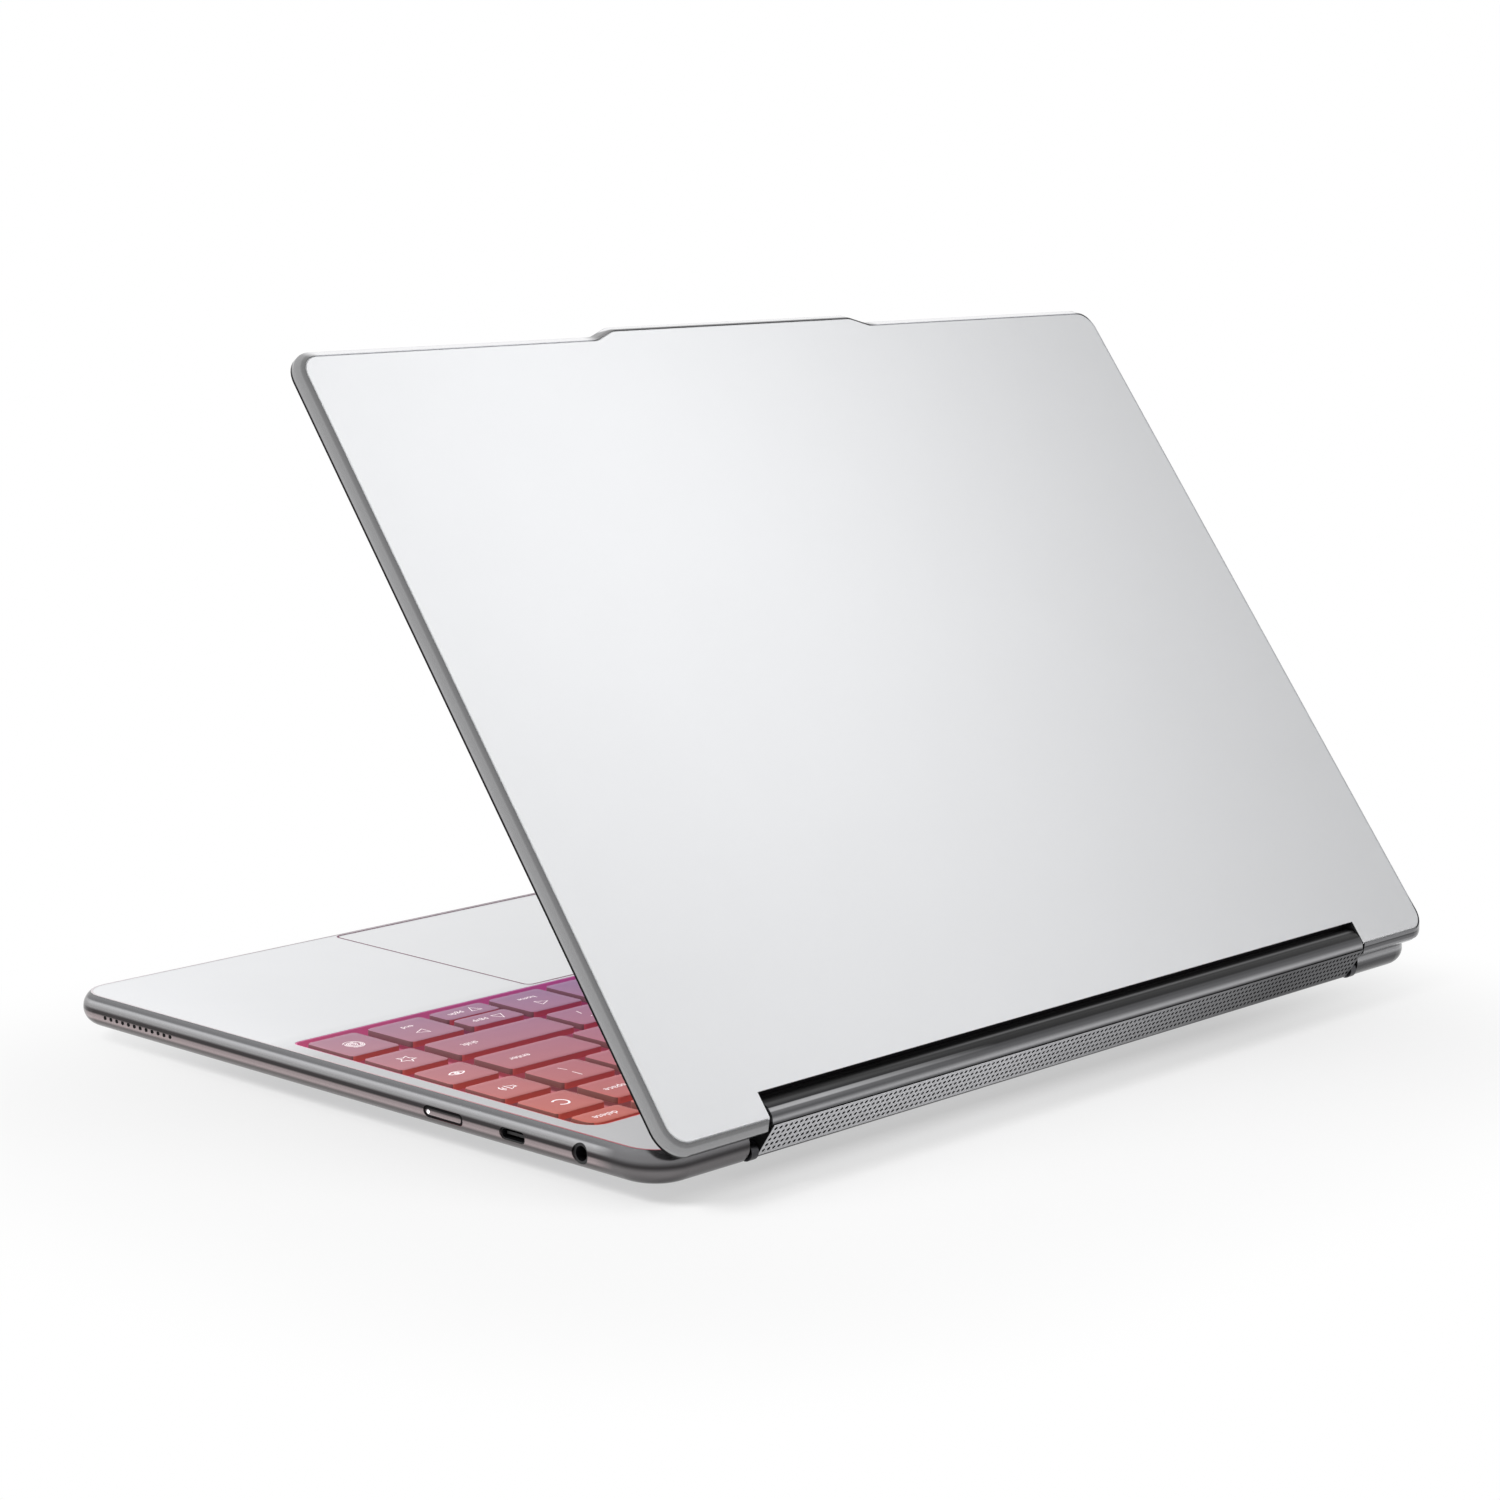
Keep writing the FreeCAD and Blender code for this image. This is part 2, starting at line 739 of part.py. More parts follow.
def key_widths(row):
    letter = size.letter_pitch - size.key_gap_x
    total = size.keys_right - size.keys_left
    if row == 0:
        arrows = (size.arrow_key_width + size.key_gap_x) * 3
        before, after = [size.control_key_width] + [letter] * 3, [letter] * 2
        space = total - arrows
        for width in before + after:
            space = space - width - size.key_gap_x
        return before + [space] + after
    if row == 5:
        count = 14
        return [(total - size.key_gap_x * (count - 1)) / count] * count
    last = (size.right_shift_width, size.enter_key_width, size.slash_key_width, size.backspace_width)[row - 1]
    count = int(size.number_keys.value) - (2, 1, 0, 0)[row - 1]
    first = total - last - size.letter_pitch * count - size.key_gap_x
    return [first] + [letter] * count + [last]


def key_layout():
    # Every keycap as (node, x limits, y limits).
    names = ("keys_modifier_row", "keys_lower_letters", "keys_home_letters", "keys_upper_letters",
             "keys_number_row", "keys_function_row")
    layout = []
    for row, name in enumerate(names):
        for number, span in enumerate(spread(size.keys_left, key_widths(row))):
            node = "key_space_bar" if (row, number) == (0, 4) else name
            layout.append((node, span, row_span(row)))
    special = ("fingerprint", "favourite", "camera", "sound", "mode", "delete")
    for row, name in enumerate(special):
        span = (size.special_column_left, size.special_column_left + size.special_key_width)
        layout.append((f"key_{name}", span, row_span(row)))
    front, rear = row_span(0)
    split = (front + rear) / 2
    lower, upper = (front, split - size.arrow_split_gap / 2), (split + size.arrow_split_gap / 2, rear)
    step = size.arrow_key_width + size.key_gap_x
    right = size.keys_right - size.arrow_key_width
    arrows = (("left", right - step * 2, (front, rear)), ("down", right - step, lower),
              ("up", right - step, upper), ("right", right, (front, rear)))
    for name, start, depth in arrows:
        layout.append((f"key_arrow_{name}", (start, start + size.arrow_key_width), depth))
    return layout


def block(x, y, z):
    low = Vector(x[0].value, y[0].value, z[0].value)
    high = Vector(x[1].value, y[1].value, z[1].value)
    lengths = high - low
    return Part.makeBox(lengths.x, lengths.y, lengths.z, low)


def bevel_well_corner(cap):
    # The two keys in the rear corners of the well lose the corner that would meet its rounding.
    rear = row_span(5)[1].value
    reach = -size.keys_left.value
    corners = []
    for edge in cap.Edges:
        bounds = edge.BoundBox
        if bounds.YMin > rear - 1e-6 and abs(abs(bounds.Center.x) - reach) < 1e-6:
            corners.append(edge)
    return cap.makeChamfer(size.corner_key_bevel.value, corners) if corners else cap


def keycap(x, y):
    cap = bevel_well_corner(block(x, y, (key_bottom, key_top)))
    half = size.stem_width / 2
    stem = block(around(middle_of(x), half), around(middle_of(y), half),
                 (key_bottom - size.stem_length, key_bottom))
    return cap.fuse(stem)


def cut_stem_slots(body, layout):
    # One slot under each row of stems, crossed by a short one under the half-height arrow keys.
    half = size.stem_width / 2 + size.stem_clearance
    slots = new_sketch(body, "stem_slots", offset=tray_top)
    east = size.special_column_left + size.special_key_width / 2 + half
    for row in range(6):
        first = spread(size.keys_left, key_widths(row))[0]
        rectangle(slots, (middle_of(first) - half, east), around(middle_of(row_span(row)), half))
    pocket(body, slots, size.tray_floor)
    keys = {node: (x, y) for node, x, y in layout}
    x, lower = keys["key_arrow_down"]
    upper = keys["key_arrow_up"][1]
    cross = new_sketch(body, "arrow_stem_slot", offset=tray_top)
    rectangle(cross, around(middle_of(x), half), (middle_of(lower) - half, middle_of(upper) + half))
    pocket(body, cross, size.tray_floor)


def make_keyboard():
    layout = key_layout()
    body = new_body("keyboard_tray")
    outer = new_sketch(body, "tray_outer", offset=tray_top - size.tray_floor)
    outline(outer, well_corners(size.tray_wall))
    pad(body, outer, deck_bottom - tray_top + size.tray_floor)
    inner = new_sketch(body, "tray_inner", offset=deck_bottom)
    outline(inner, well_corners(origin))
    pocket(body, inner, deck_bottom - tray_top)
    cut_stem_slots(body, layout)
    keep(body, "keyboard_tray")
    for node in dict.fromkeys(name for name, x, y in layout):
        caps = [keycap(x, y) for name, x, y in layout if name == node]
        feature = doc.addObject("Part::Feature", node)
        feature.Shape = Part.makeCompound(caps) if len(caps) > 1 else caps[0]
        keep(feature, node, Placement())


def make_touchpad():
    top = size.deck_top - size.touchpad_recess
    bottom = top - size.touchpad_thickness
    body = new_body("touchpad")
    plate = new_sketch(body, "touchpad_outline", offset=bottom)
    rectangle(plate, (-touchpad_x, touchpad_x), (touchpad_front, touchpad_rear), size.touchpad_corner)
    pad(body, plate, size.touchpad_thickness)
    keep(body, "touchpad")
    make_touchpad_bracket(bottom - size.touchpad_travel - size.inner_gap)


def make_touchpad_bracket(top):
    # A trough under the touchpad, hung from the deck at both sides.
    inner = touchpad_x + size.touchpad_clearance
    outer = inner + size.bracket_wall
    low = top - size.bracket_floor
    front = base_front + size.rim_wall + size.inner_gap
    body = new_body("touchpad_bracket")
    trough = new_sketch(body, "bracket_section", "XZ_Plane", -touchpad_rear)
    outline(trough, [(x, z, None) for x, z in (
        (-outer, low), (outer, low), (outer, deck_bottom), (inner, deck_bottom),
        (inner, top), (-inner, top), (-inner, deck_bottom), (-outer, deck_bottom))])
    pad(body, trough, touchpad_rear - front)
    keep(body, "touchpad_bracket")


# Sockets: drawn with the mouth facing +X at the origin, then set into either side.

def socket_pose(y, z, right=True):
    reach = base_x.value - size.socket_recess.value
    turn = Rotation(Vector(0, 0, 1), 0 if right else 180)
    return Placement(Vector(reach if right else -reach, y.value, z.value), turn)


def make_usb_c(label, pose):
    width, height, wall = size.usb_c_width, size.usb_c_height, size.usb_c_wall
    length = size.usb_c_length
    body = new_body(label)
    shell = new_sketch(body, label + "_shell", "YZ_Plane", -length)
    slot_at(shell, origin, origin, width, height)
    pad(body, shell, length)
    mouth = new_sketch(body, label + "_mouth", "YZ_Plane", 0.0)
    slot_at(mouth, origin, origin, width - wall * 2, height - wall * 2)
    pocket(body, mouth, length - wall * 2)
    tongue = new_sketch(body, label + "_tongue", "YZ_Plane", -length + wall)
    rectangle(tongue, around(origin, width / 2 - size.tongue_side_gap),
              around(origin, size.tongue_thickness / 2))
    pad(body, tongue, length - wall * 4)
    keep(body, label, pose)


def make_sockets():
    places = (("usb_c_socket_right", size.usb_c_right_y, True),
              ("usb_c_socket_left", size.usb_c_left_y, False))
    for label, y, right in places:
        make_usb_c(label, socket_pose(y, size.port_height, right))
    mouth = base_x - size.socket_recess
    barrel = rod("jack_barrel", (mouth - size.jack_length, mouth),
                 size.jack_y, size.jack_height, size.jack_outer)
    bore = rod("jack_bore_tool", (mouth - size.jack_length + size.jack_end, mouth),
               size.jack_y, size.jack_height, size.jack_bore)
    keep(cut("audio_jack", barrel, bore), "audio_jack")


def make_power_button():
    body = new_body("power_button")
    inside = base_x - size.rim_wall - size.button_flange - size.fit_clearance
    flange = new_sketch(body, "button_flange_outline", "YZ_Plane", inside)
    y, z = size.button_y, size.port_height
    grow = size.button_flange
    rectangle(flange, around(y, size.button_length / 2 + grow), around(z, size.button_height / 2 + grow))
    pad(body, flange, size.button_flange)
    face = new_sketch(body, "button_face", "YZ_Plane", inside)
    slot_at(face, y, z, size.button_length, size.button_height)
    pad(body, face, base_x - size.fit_clearance - inside)
    keep(body, "power_button")


def make_microphone_strip():
    inner = base_x - size.rim_wall
    last = size.mic_first_y + size.mic_pitch * (size.mic_count.value - 1)
    keep(box("microphone_strip", (inner - size.mic_board, inner),
             (size.mic_first_y - size.mic_pitch, last + size.mic_pitch),
             around(size.mic_height, size.mic_board)), "microphone_strip")


# Inside the base: board, cooling, battery and speakers.

board_bottom = cover_inside + size.board_lift
board_top = board_bottom + size.board_thickness
pipe_bottom = board_top + size.chip_height
pipe_rear = fan_rear + size.sink_gap + size.sink_depth


def board_posts():
    inset = size.post_width / 2
    x = size.board_half - inset
    return [(x * side, y) for side in (1, -1) for y in (size.board_front + inset, fan_rear - inset)]


def make_board():
    half = size.board_half
    keep(box("mainboard", (-half, half), (size.board_front, size.board_rear), (board_bottom, board_top)),
         "mainboard")
    middle = pipe_rear - size.pipe_width / 2
    keep(box("processor", (-size.chip_half, size.chip_half), around(middle, size.chip_depth / 2),
             (board_top, pipe_bottom)), "processor")
    body = new_body("heat_pipe")
    flat = new_sketch(body, "pipe_outline", offset=pipe_bottom)
    rectangle(flat, around(origin, size.pipe_half), (pipe_rear - size.pipe_width, pipe_rear))
    pad(body, flat, size.pipe_height)
    keep(body, "heat_pipe")
    front = size.board_front + size.card_inset
    edge = half - size.card_inset - size.post_width
    cards = (("storage_card", (-edge, -edge + size.card_width), size.card_length),
             ("wireless_card", (edge - size.card_width, edge), size.wireless_length))
    for label, x, length in cards:
        keep(box(label, x, (front, front + length), (board_top, board_top + size.card_height)), label)


def make_fan(side, name):
    middle = size.fan_offset * side
    half = size.fan_size / 2
    top = cover_inside + size.fan_height
    body = new_body(f"fan_housing_{name}")
    outer = new_sketch(body, f"housing_outline_{name}", offset=cover_inside)
    rectangle(outer, around(middle, half), around(fan_y, half))
    pad(body, outer, size.fan_height)
    scroll = new_sketch(body, f"housing_scroll_{name}", offset=cover_inside)
    room = size.fan_blade_reach + size.fan_rim_clearance
    rectangle(scroll, around(middle, room), (fan_y - room, fan_rear))
    pocket(body, scroll, size.fan_height - size.fan_wall, backwards=True)
    axle = new_sketch(body, f"housing_axle_{name}", offset=cover_inside + size.fan_axial_gap)
    circle(axle, middle, fan_y, size.fan_axle)
    pad(body, axle, size.fan_height - size.fan_wall)
    keep(body, f"fan_housing_{name}")
    make_impeller(middle, name, top - size.fan_wall - size.fan_axial_gap)


def make_impeller(middle, name, top):
    body = new_body(f"fan_impeller_{name}")
    low = cover_inside + size.fan_axial_gap
    hub = new_sketch(body, f"hub_outline_{name}", offset=low)
    circle(hub, origin, origin, size.fan_hub)
    circle(hub, origin, origin, size.fan_axle + size.pin_clearance)
    pad(body, hub, top - low)
    blade = new_sketch(body, f"blade_outline_{name}", offset=low)
    rectangle(blade, (size.fan_hub - size.fan_blade_width, size.fan_blade_reach),
              around(origin, size.fan_blade_width / 2))
    vane = pad(body, blade, top - low)
    ring = body.newObject("PartDesign::PolarPattern", f"blade_ring_{name}")
    ring.Originals = [vane]
    ring.Axis = (blade, ["N_Axis"])
    ring.Angle = 360
    bind(ring, "Occurrences", size.fan_blade_count)
    body.Tip = ring
    doc.recompute()
    keep(body, f"fan_impeller_{name}", Placement(Vector(middle.value, fan_y.value, 0), Rotation()))


def make_heat_sink(side, name):
    middle = size.fan_offset * side
    half = size.fan_blade_reach
    span = (fan_rear + size.sink_gap, fan_rear + size.sink_gap + size.sink_depth)
    body = new_body(f"heat_sink_{name}")
    plate = new_sketch(body, f"sink_plate_{name}", offset=pipe_bottom - size.fin_thickness)
    rectangle(plate, around(middle, half), span)
    pad(body, plate, size.fin_thickness)
    fin = new_sketch(body, f"sink_fin_{name}", offset=rim_bottom)
    left = middle - half
    rectangle(fin, (left, left + size.fin_thickness), span)
    vane = pad(body, fin, pipe_bottom - rim_bottom)
    pitch = (half * 2 - size.fin_thickness) / (size.fin_count.value - 1)
    row_of(body, vane, fin, "H_Axis", pitch, size.fin_count)
    keep(body, f"heat_sink_{name}")


def make_battery():
    (west, east), (south, north) = cover_span()
    half = size.battery_width / 2
    front = south + size.battery_inset
    body = new_body("battery")
    block_outline = new_sketch(body, "battery_outline", offset=cover_inside)
    rectangle(block_outline, (-half, half), (front, front + size.battery_depth))
    pad(body, block_outline, size.battery_height)
    grooves = new_sketch(body, "cell_grooves", offset=cover_inside + size.battery_height)
    pitch = size.battery_width / size.battery_cells.value
    for number in range(1, int(size.battery_cells.value)):
        place = pitch * number - half
        rectangle(grooves, around(place, size.cell_groove / 2),
                  (front - size.inner_gap, front + size.battery_depth + size.inner_gap))
    pocket(body, grooves, size.cell_groove)
    keep(body, "battery")
    for side, name in fan_places:
        near = half + size.inner_gap * 2
        x = (near, near + size.woofer_width) if side > 0 else (-near - size.woofer_width, -near)
        start = front + size.woofer_inset
        keep(box(f"woofer_{name}", x, (start, start + size.woofer_depth),
                 (cover_inside, cover_inside + size.woofer_height)), f"woofer_{name}")


# Lid, drawn closed over the deck and then opened about both axes.

def lid_corners(inset):
    # The lid outline with the camera bump on its front edge, drawn in by an inset.
    corner = size.lid_corner - inset
    west, east = -lid_x + inset, lid_x - inset
    south, north = lid_front + inset, lid_rear - inset
    crest = south - size.bump_height
    flat, foot = size.bump_half, size.bump_half + size.bump_ramp
    ease = size.bump_round
    return [(west, south, corner), (-foot, south, ease), (-flat, crest, ease), (flat, crest, ease),
            (foot, south, ease), (east, south, corner), (east, north, corner), (west, north, corner)]


def lid_inner_corners(gap):
    # The space inside the lid frame, round the hinge notch, drawn in by a gap.
    inset = size.lid_wall + gap
    corners = lid_corners(inset)
    ear = size.lid_notch_half + size.lid_notch_band + gap
    shelf = lid_rear - size.lid_notch_depth - size.lid_notch_band - gap
    north = lid_rear - inset
    notch = [(ear, north, None), (ear, shelf, None), (-ear, shelf, None), (-ear, north, None)]
    return corners[:7] + notch + corners[7:]


def cut_lid_notch(body, name, gap=0.0):
    notch = new_sketch(body, name, offset=lid_outside)
    half = size.lid_notch_half + gap
    rectangle(notch, (-half, half), (lid_rear - size.lid_notch_depth - gap, lid_rear + size.lid_wall))
    pocket(body, notch)


def make_lid_shell():
    body = new_body("lid_frame")
    blank = new_sketch(body, "lid_outline", offset=lid_inside)
    outline(blank, lid_corners(origin))
    solid = pad(body, blank, size.lid_thickness)
    solid = chamfer(body, solid, lid_inside, size.lid_bevel)
    chamfer(body, solid, lid_outside, size.lid_edge_bevel)
    seat = new_sketch(body, "lid_cover_seat", offset=lid_outside)
    outline(seat, lid_corners(size.lid_inset - size.fit_clearance))
    pocket(body, seat, size.lid_cover)
    inside = new_sketch(body, "lid_frame_inside", offset=cover_seat)
    outline(inside, lid_inner_corners(origin))
    pocket(body, inside)
    cut_lid_notch(body, "lid_frame_notch", size.notch_trim + size.fit_clearance)
    bore = new_sketch(body, "lid_pin_bore", "YZ_Plane", 0.0)
    circle(bore, size.axis_y, lid_axis_z, size.lid_pin_radius + size.fit_clearance)
    pocket(body, bore, (size.lid_notch_half + size.lid_pin_seat) * 2, symmetric=True)
    keep(body, "lid_frame", lid_pose)
    cover = new_body("lid_cover")
    plate = new_sketch(cover, "lid_cover_outline", offset=cover_seat)
    outline(plate, lid_corners(size.lid_inset))
    top = pad(cover, plate, size.lid_cover)
    chamfer(cover, top, lid_outside, size.lid_cover_edge)
    cut_lid_notch(cover, "lid_cover_notch")
    keep(cover, "lid_cover", lid_pose)


def make_notch_trim():
    # Black lining of the hinge notch: its long wall and the two ear walls.
    body = new_body("notch_trim")
    half = size.lid_notch_half
    thick = size.notch_trim
    wall = lid_rear - size.lid_notch_depth
    rear = size.axis_y - size.lid_pin_radius - size.inner_gap
    section = new_sketch(body, "notch_trim_outline", offset=lid_inside)
    outline(section, [(x, y, None) for x, y in (
        (-half - thick, wall - thick), (half + thick, wall - thick), (half + thick, rear), (half, rear),
        (half, wall), (-half, wall), (-half, rear), (-half - thick, rear))])
    pad(body, section, cover_seat - size.fit_clearance - lid_inside)
    keep(body, "notch_trim", lid_pose)


def make_display():
    glass_low = lid_inside + size.glass_recess
    glass_high = glass_low + size.glass_thickness
    gasket = new_body("screen_gasket")
    ring = new_sketch(gasket, "gasket_outer", offset=lid_inside - size.gasket_proud)
    outline(ring, lid_inner_corners(size.fit_clearance))
    pad(gasket, ring, glass_high - lid_inside + size.gasket_proud)
    hole = new_sketch(gasket, "gasket_inner", offset=glass_high)
    outline(hole, lid_inner_corners(size.gasket_width))
    pocket(gasket, hole)
    keep(gasket, "screen_gasket", lid_pose)
    glass = new_body("display_glass")
    sheet_outline = new_sketch(glass, "glass_outline", offset=glass_low)
    outline(sheet_outline, lid_inner_corners(size.gasket_width + size.fit_clearance))
    pad(glass, sheet_outline, size.glass_thickness)
    keep(glass, "display_glass", lid_pose)
    panel = new_body("display_panel")
    chin = lid_rear - size.lid_notch_depth - size.lid_notch_band - size.panel_chin
    screen = new_sketch(panel, "panel_outline", offset=glass_high)
    rectangle(screen, around(origin, size.panel_width / 2), (chin - size.panel_depth, chin))
    pad(panel, screen, size.panel_thickness)
    keep(panel, "display_panel", lid_pose)
    camera = new_body("camera_module")
    strip = new_sketch(camera, "camera_outline", offset=glass_high)
    near = lid_front - size.bump_height + size.lid_wall + size.inner_gap
    rectangle(strip, around(origin, size.camera_width / 2), (near, near + size.camera_depth))
    pad(camera, strip, size.camera_thickness)
    keep(camera, "camera_module", lid_pose)


# Hinge bar: the link between the two axes, with its speaker grille facing the rear.

def at_bar(y, z):
    return size.axis_y + y, size.axis_z + z


def bar_rear(z, inset=0.0):
    # Y of the leaning rear face at one height above the base axis.
    height = size.bar_top + size.bar_bottom
    lean = (size.bar_rear_high - size.bar_rear_low).value / height.value
    return size.bar_rear_low + (z + size.bar_bottom) * lean - inset


def bar_corners(inset):
    low, high = -size.bar_bottom + inset, size.bar_top - inset
    small, large = size.bar_small_round - inset, size.bar_round - inset
    front = -size.bar_front + inset
    return [at_bar(front, low) + (None,), at_bar(bar_rear(low, inset), low) + (small,),
            at_bar(bar_rear(high, inset), high) + (large,), at_bar(front, high) + (None,)]


def grille_corners(depth, margin, outer):
    # The leaning slab between two depths behind the rear face, shortened at both ends by a margin.
    low, high = size.grille_low + margin, size.grille_high - margin
    return [at_bar(bar_rear(low, depth), low) + (None,), at_bar(bar_rear(low, outer), low) + (None,),
            at_bar(bar_rear(high, outer), high) + (None,), at_bar(bar_rear(high, depth), high) + (None,)]


def cut_grille_seat(body, name):
    seat = new_sketch(body, f"grille_seat_{name}", "YZ_Plane", 0.0)
    depth = size.grille_thickness + size.fit_clearance
    outline(seat, grille_corners(depth, -size.fit_clearance, -size.bar_wall))
    pocket(body, seat, (size.bar_half - size.grille_end_gap + size.fit_clearance) * 2, symmetric=True)


def make_bar():
    length = (size.bar_half - size.cap_flange) * 2
    body = new_body("bar_shell")
    skin = new_sketch(body, "bar_section", "YZ_Plane", 0.0)
    outline(skin, bar_corners(origin))
    pad(body, skin, length, symmetric=True)
    hollow = new_sketch(body, "bar_hollow", "YZ_Plane", 0.0)
    outline(hollow, bar_corners(size.bar_wall))
    pocket(body, hollow, length, symmetric=True)
    cut_grille_seat(body, "shell")
    window = new_sketch(body, "grille_window", "YZ_Plane", 0.0)
    outline(window, grille_corners(size.bar_wall * 2, size.grille_ledge, -size.bar_wall))
    pocket(body, window, length - size.window_margin * 2, symmetric=True)
    keep(body, "bar_shell", bar_pose)
    grille = new_body("bar_grille")
    face = new_sketch(grille, "grille_section", "YZ_Plane", 0.0)
    outline(face, grille_corners(size.grille_thickness, origin, origin))
    pad(grille, face, (size.bar_half - size.grille_end_gap) * 2, symmetric=True)
    keep(grille, "bar_grille", bar_pose)


def make_bar_caps():
    inner = size.bar_half - size.cap_flange
    for side, label in ((1, "bar_end_cap_right"), (-1, "bar_end_cap_left")):
        body = new_body(label)
        flange = new_sketch(body, label + "_flange", "YZ_Plane", inner if side > 0 else -size.bar_half)
        outline(flange, bar_corners(origin))
        pad(body, flange, size.cap_flange)
        bores = new_sketch(body, label + "_bores", "YZ_Plane", size.bar_half * side)
        circle(bores, size.axis_y, size.axis_z, size.base_pin_radius + size.pin_clearance)
        circle(bores, size.axis_y, lid_axis_z, size.lid_pin_radius + size.pin_clearance)
        pocket(body, bores, size.pin_reach + size.inner_gap, backwards=side < 0)
        cut_grille_seat(body, label)
        keep(body, label, bar_pose)


def make_tweeters():
    front = size.axis_y - size.bar_front + size.bar_wall
    low, high = size.grille_low + size.grille_ledge, size.grille_high - size.grille_ledge
    rear = size.axis_y + bar_rear(low) - size.grille_thickness - size.tweeter_gap
    drivers = []
    for side, name in fan_places:
        middle = size.tweeter_offset * side
        drivers.append(box(f"tweeter_{name}", around(middle, size.tweeter_length / 2), (front, rear),
                           (size.axis_z + low, size.axis_z + high)))
    keep(group("bar_tweeters", drivers), "bar_tweeters", bar_pose)


# Hinge metal: arms fixed in the base carry the bar, and pins in the bar carry the lid.

def make_base_arms():
    arms = []
    for side, name in fan_places:
        low, high = arm_span(side)
        inner = size.bar_half - size.pin_reach
        reach = (inner, low) if side > 0 else (high, -inner)
        half = size.arm_height / 2
        foot_rear = inner_rear - size.inner_gap
        foot = (high - size.arm_foot_width, high) if side > 0 else (low, low + size.arm_foot_width)
        pieces = [
            rod(f"arm_barrel_{name}", (low, high), size.axis_y, size.axis_z, size.arm_barrel),
            rod(f"arm_pin_{name}", reach, size.axis_y, size.axis_z, size.base_pin_radius),
            box(f"arm_bar_{name}", (low, high), (foot_rear - size.arm_foot_length, size.axis_y),
                around(size.axis_z, half)),
            box(f"arm_foot_{name}", foot, (foot_rear - size.arm_foot_length, foot_rear),
                around(size.axis_z, half)),
        ]
        arms.append(fuse(f"arm_{name}", pieces))
    keep(group("base_hinge_arms", arms), "base_hinge_arms")


def make_lid_pins():
    inner = size.bar_half - size.pin_reach
    outer = size.lid_notch_half + size.lid_pin_seat
    pins = [rod("lid_pin_right", (inner, outer), size.axis_y, lid_axis_z, size.lid_pin_radius),
            rod("lid_pin_left", (-outer, -inner), size.axis_y, lid_axis_z, size.lid_pin_radius)]
    keep(group("lid_hinge_pins", pins), "lid_hinge_pins", lid_pose)


make_base_frame()
make_deck_plate()
make_bottom_cover()
make_feet()
make_keyboard()
make_touchpad()
make_sockets()
make_power_button()
make_microphone_strip()
make_board()
for fan_side, fan_name in fan_places:
    make_fan(fan_side, fan_name)
    make_heat_sink(fan_side, fan_name)
make_battery()
make_lid_shell()
make_notch_trim()
make_display()
make_bar()
make_bar_caps()
make_tweeters()
make_base_arms()
make_lid_pins()
doc.recompute()

failed = [item.Name for item in doc.Objects if "Invalid" in item.State or "Error" in item.State]
for node in nodes:
    if node.Shape.isNull() or not node.Shape.isValid() or not node.Shape.Solids:
        failed.append(node.Label)
if failed:
    raise RuntimeError("failed: " + ", ".join(failed))

os.makedirs("parts", exist_ok=True)
for node in nodes:
    node.Shape.exportStep(f"parts/{node.Label}.step")
print(len(nodes), "pieces written")
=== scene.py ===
import bpy
import json
import math
from mathutils import Matrix, Vector


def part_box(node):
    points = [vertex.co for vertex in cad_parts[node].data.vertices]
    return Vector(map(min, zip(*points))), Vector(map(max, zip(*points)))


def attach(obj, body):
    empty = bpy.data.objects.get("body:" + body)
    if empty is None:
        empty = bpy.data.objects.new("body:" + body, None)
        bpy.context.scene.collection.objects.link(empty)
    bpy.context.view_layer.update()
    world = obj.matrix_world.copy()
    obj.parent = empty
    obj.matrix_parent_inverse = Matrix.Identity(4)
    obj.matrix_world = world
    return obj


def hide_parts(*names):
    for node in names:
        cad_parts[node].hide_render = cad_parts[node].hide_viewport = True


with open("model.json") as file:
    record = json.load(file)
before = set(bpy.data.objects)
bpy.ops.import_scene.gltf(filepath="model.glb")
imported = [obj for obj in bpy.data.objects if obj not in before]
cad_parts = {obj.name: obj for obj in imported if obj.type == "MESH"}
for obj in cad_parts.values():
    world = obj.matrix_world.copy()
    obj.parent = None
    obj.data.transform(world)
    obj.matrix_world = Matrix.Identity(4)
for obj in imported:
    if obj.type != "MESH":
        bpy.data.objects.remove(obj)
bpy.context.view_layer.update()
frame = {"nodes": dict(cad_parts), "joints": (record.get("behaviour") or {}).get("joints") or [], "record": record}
cadNodes = frame["nodes"]
bodies = frame["record"]["behaviour"]["bodies"]
bodyOf = {node: body for body, members in bodies.items() for node in members}
mm = 0.001
tiny = 1e-6    # metres, for places that should be equal
print("frame loaded:", len(cadNodes), "nodes")

# directions of the lid and the bar at rest, worked out from their two axes
hinges = {joint["name"]: Vector(joint["pos_m"]) for joint in frame["joints"]
          if joint["name"] in ("bar_turn", "lid_turn")}
baseAxis, lidAxis = hinges["bar_turn"], hinges["lid_turn"]
halfAngle = math.atan2(lidAxis.y - baseAxis.y, lidAxis.z - baseAxis.z)
lidNormal = Vector((0, math.sin(2 * halfAngle), math.cos(2 * halfAngle)))    # out of the white face
lidUp = Vector((0, -math.cos(2 * halfAngle), math.sin(2 * halfAngle)))    # from the hinge to the free edge
barUp = Vector((0, math.sin(halfAngle), math.cos(halfAngle)))    # from the base axis to the lid axis
barOut = Vector((0, math.cos(halfAngle), -math.sin(halfAngle)))    # out of the grille side


def fromSrgb(red, green, blue):
    def channel(value):
        value = value / 255
        return value / 12.92 if value <= 0.04045 else ((value + 0.055) / 1.055) ** 2.4
    return channel(red), channel(green), channel(blue), 1.0


# node helpers, for shader and geometry trees

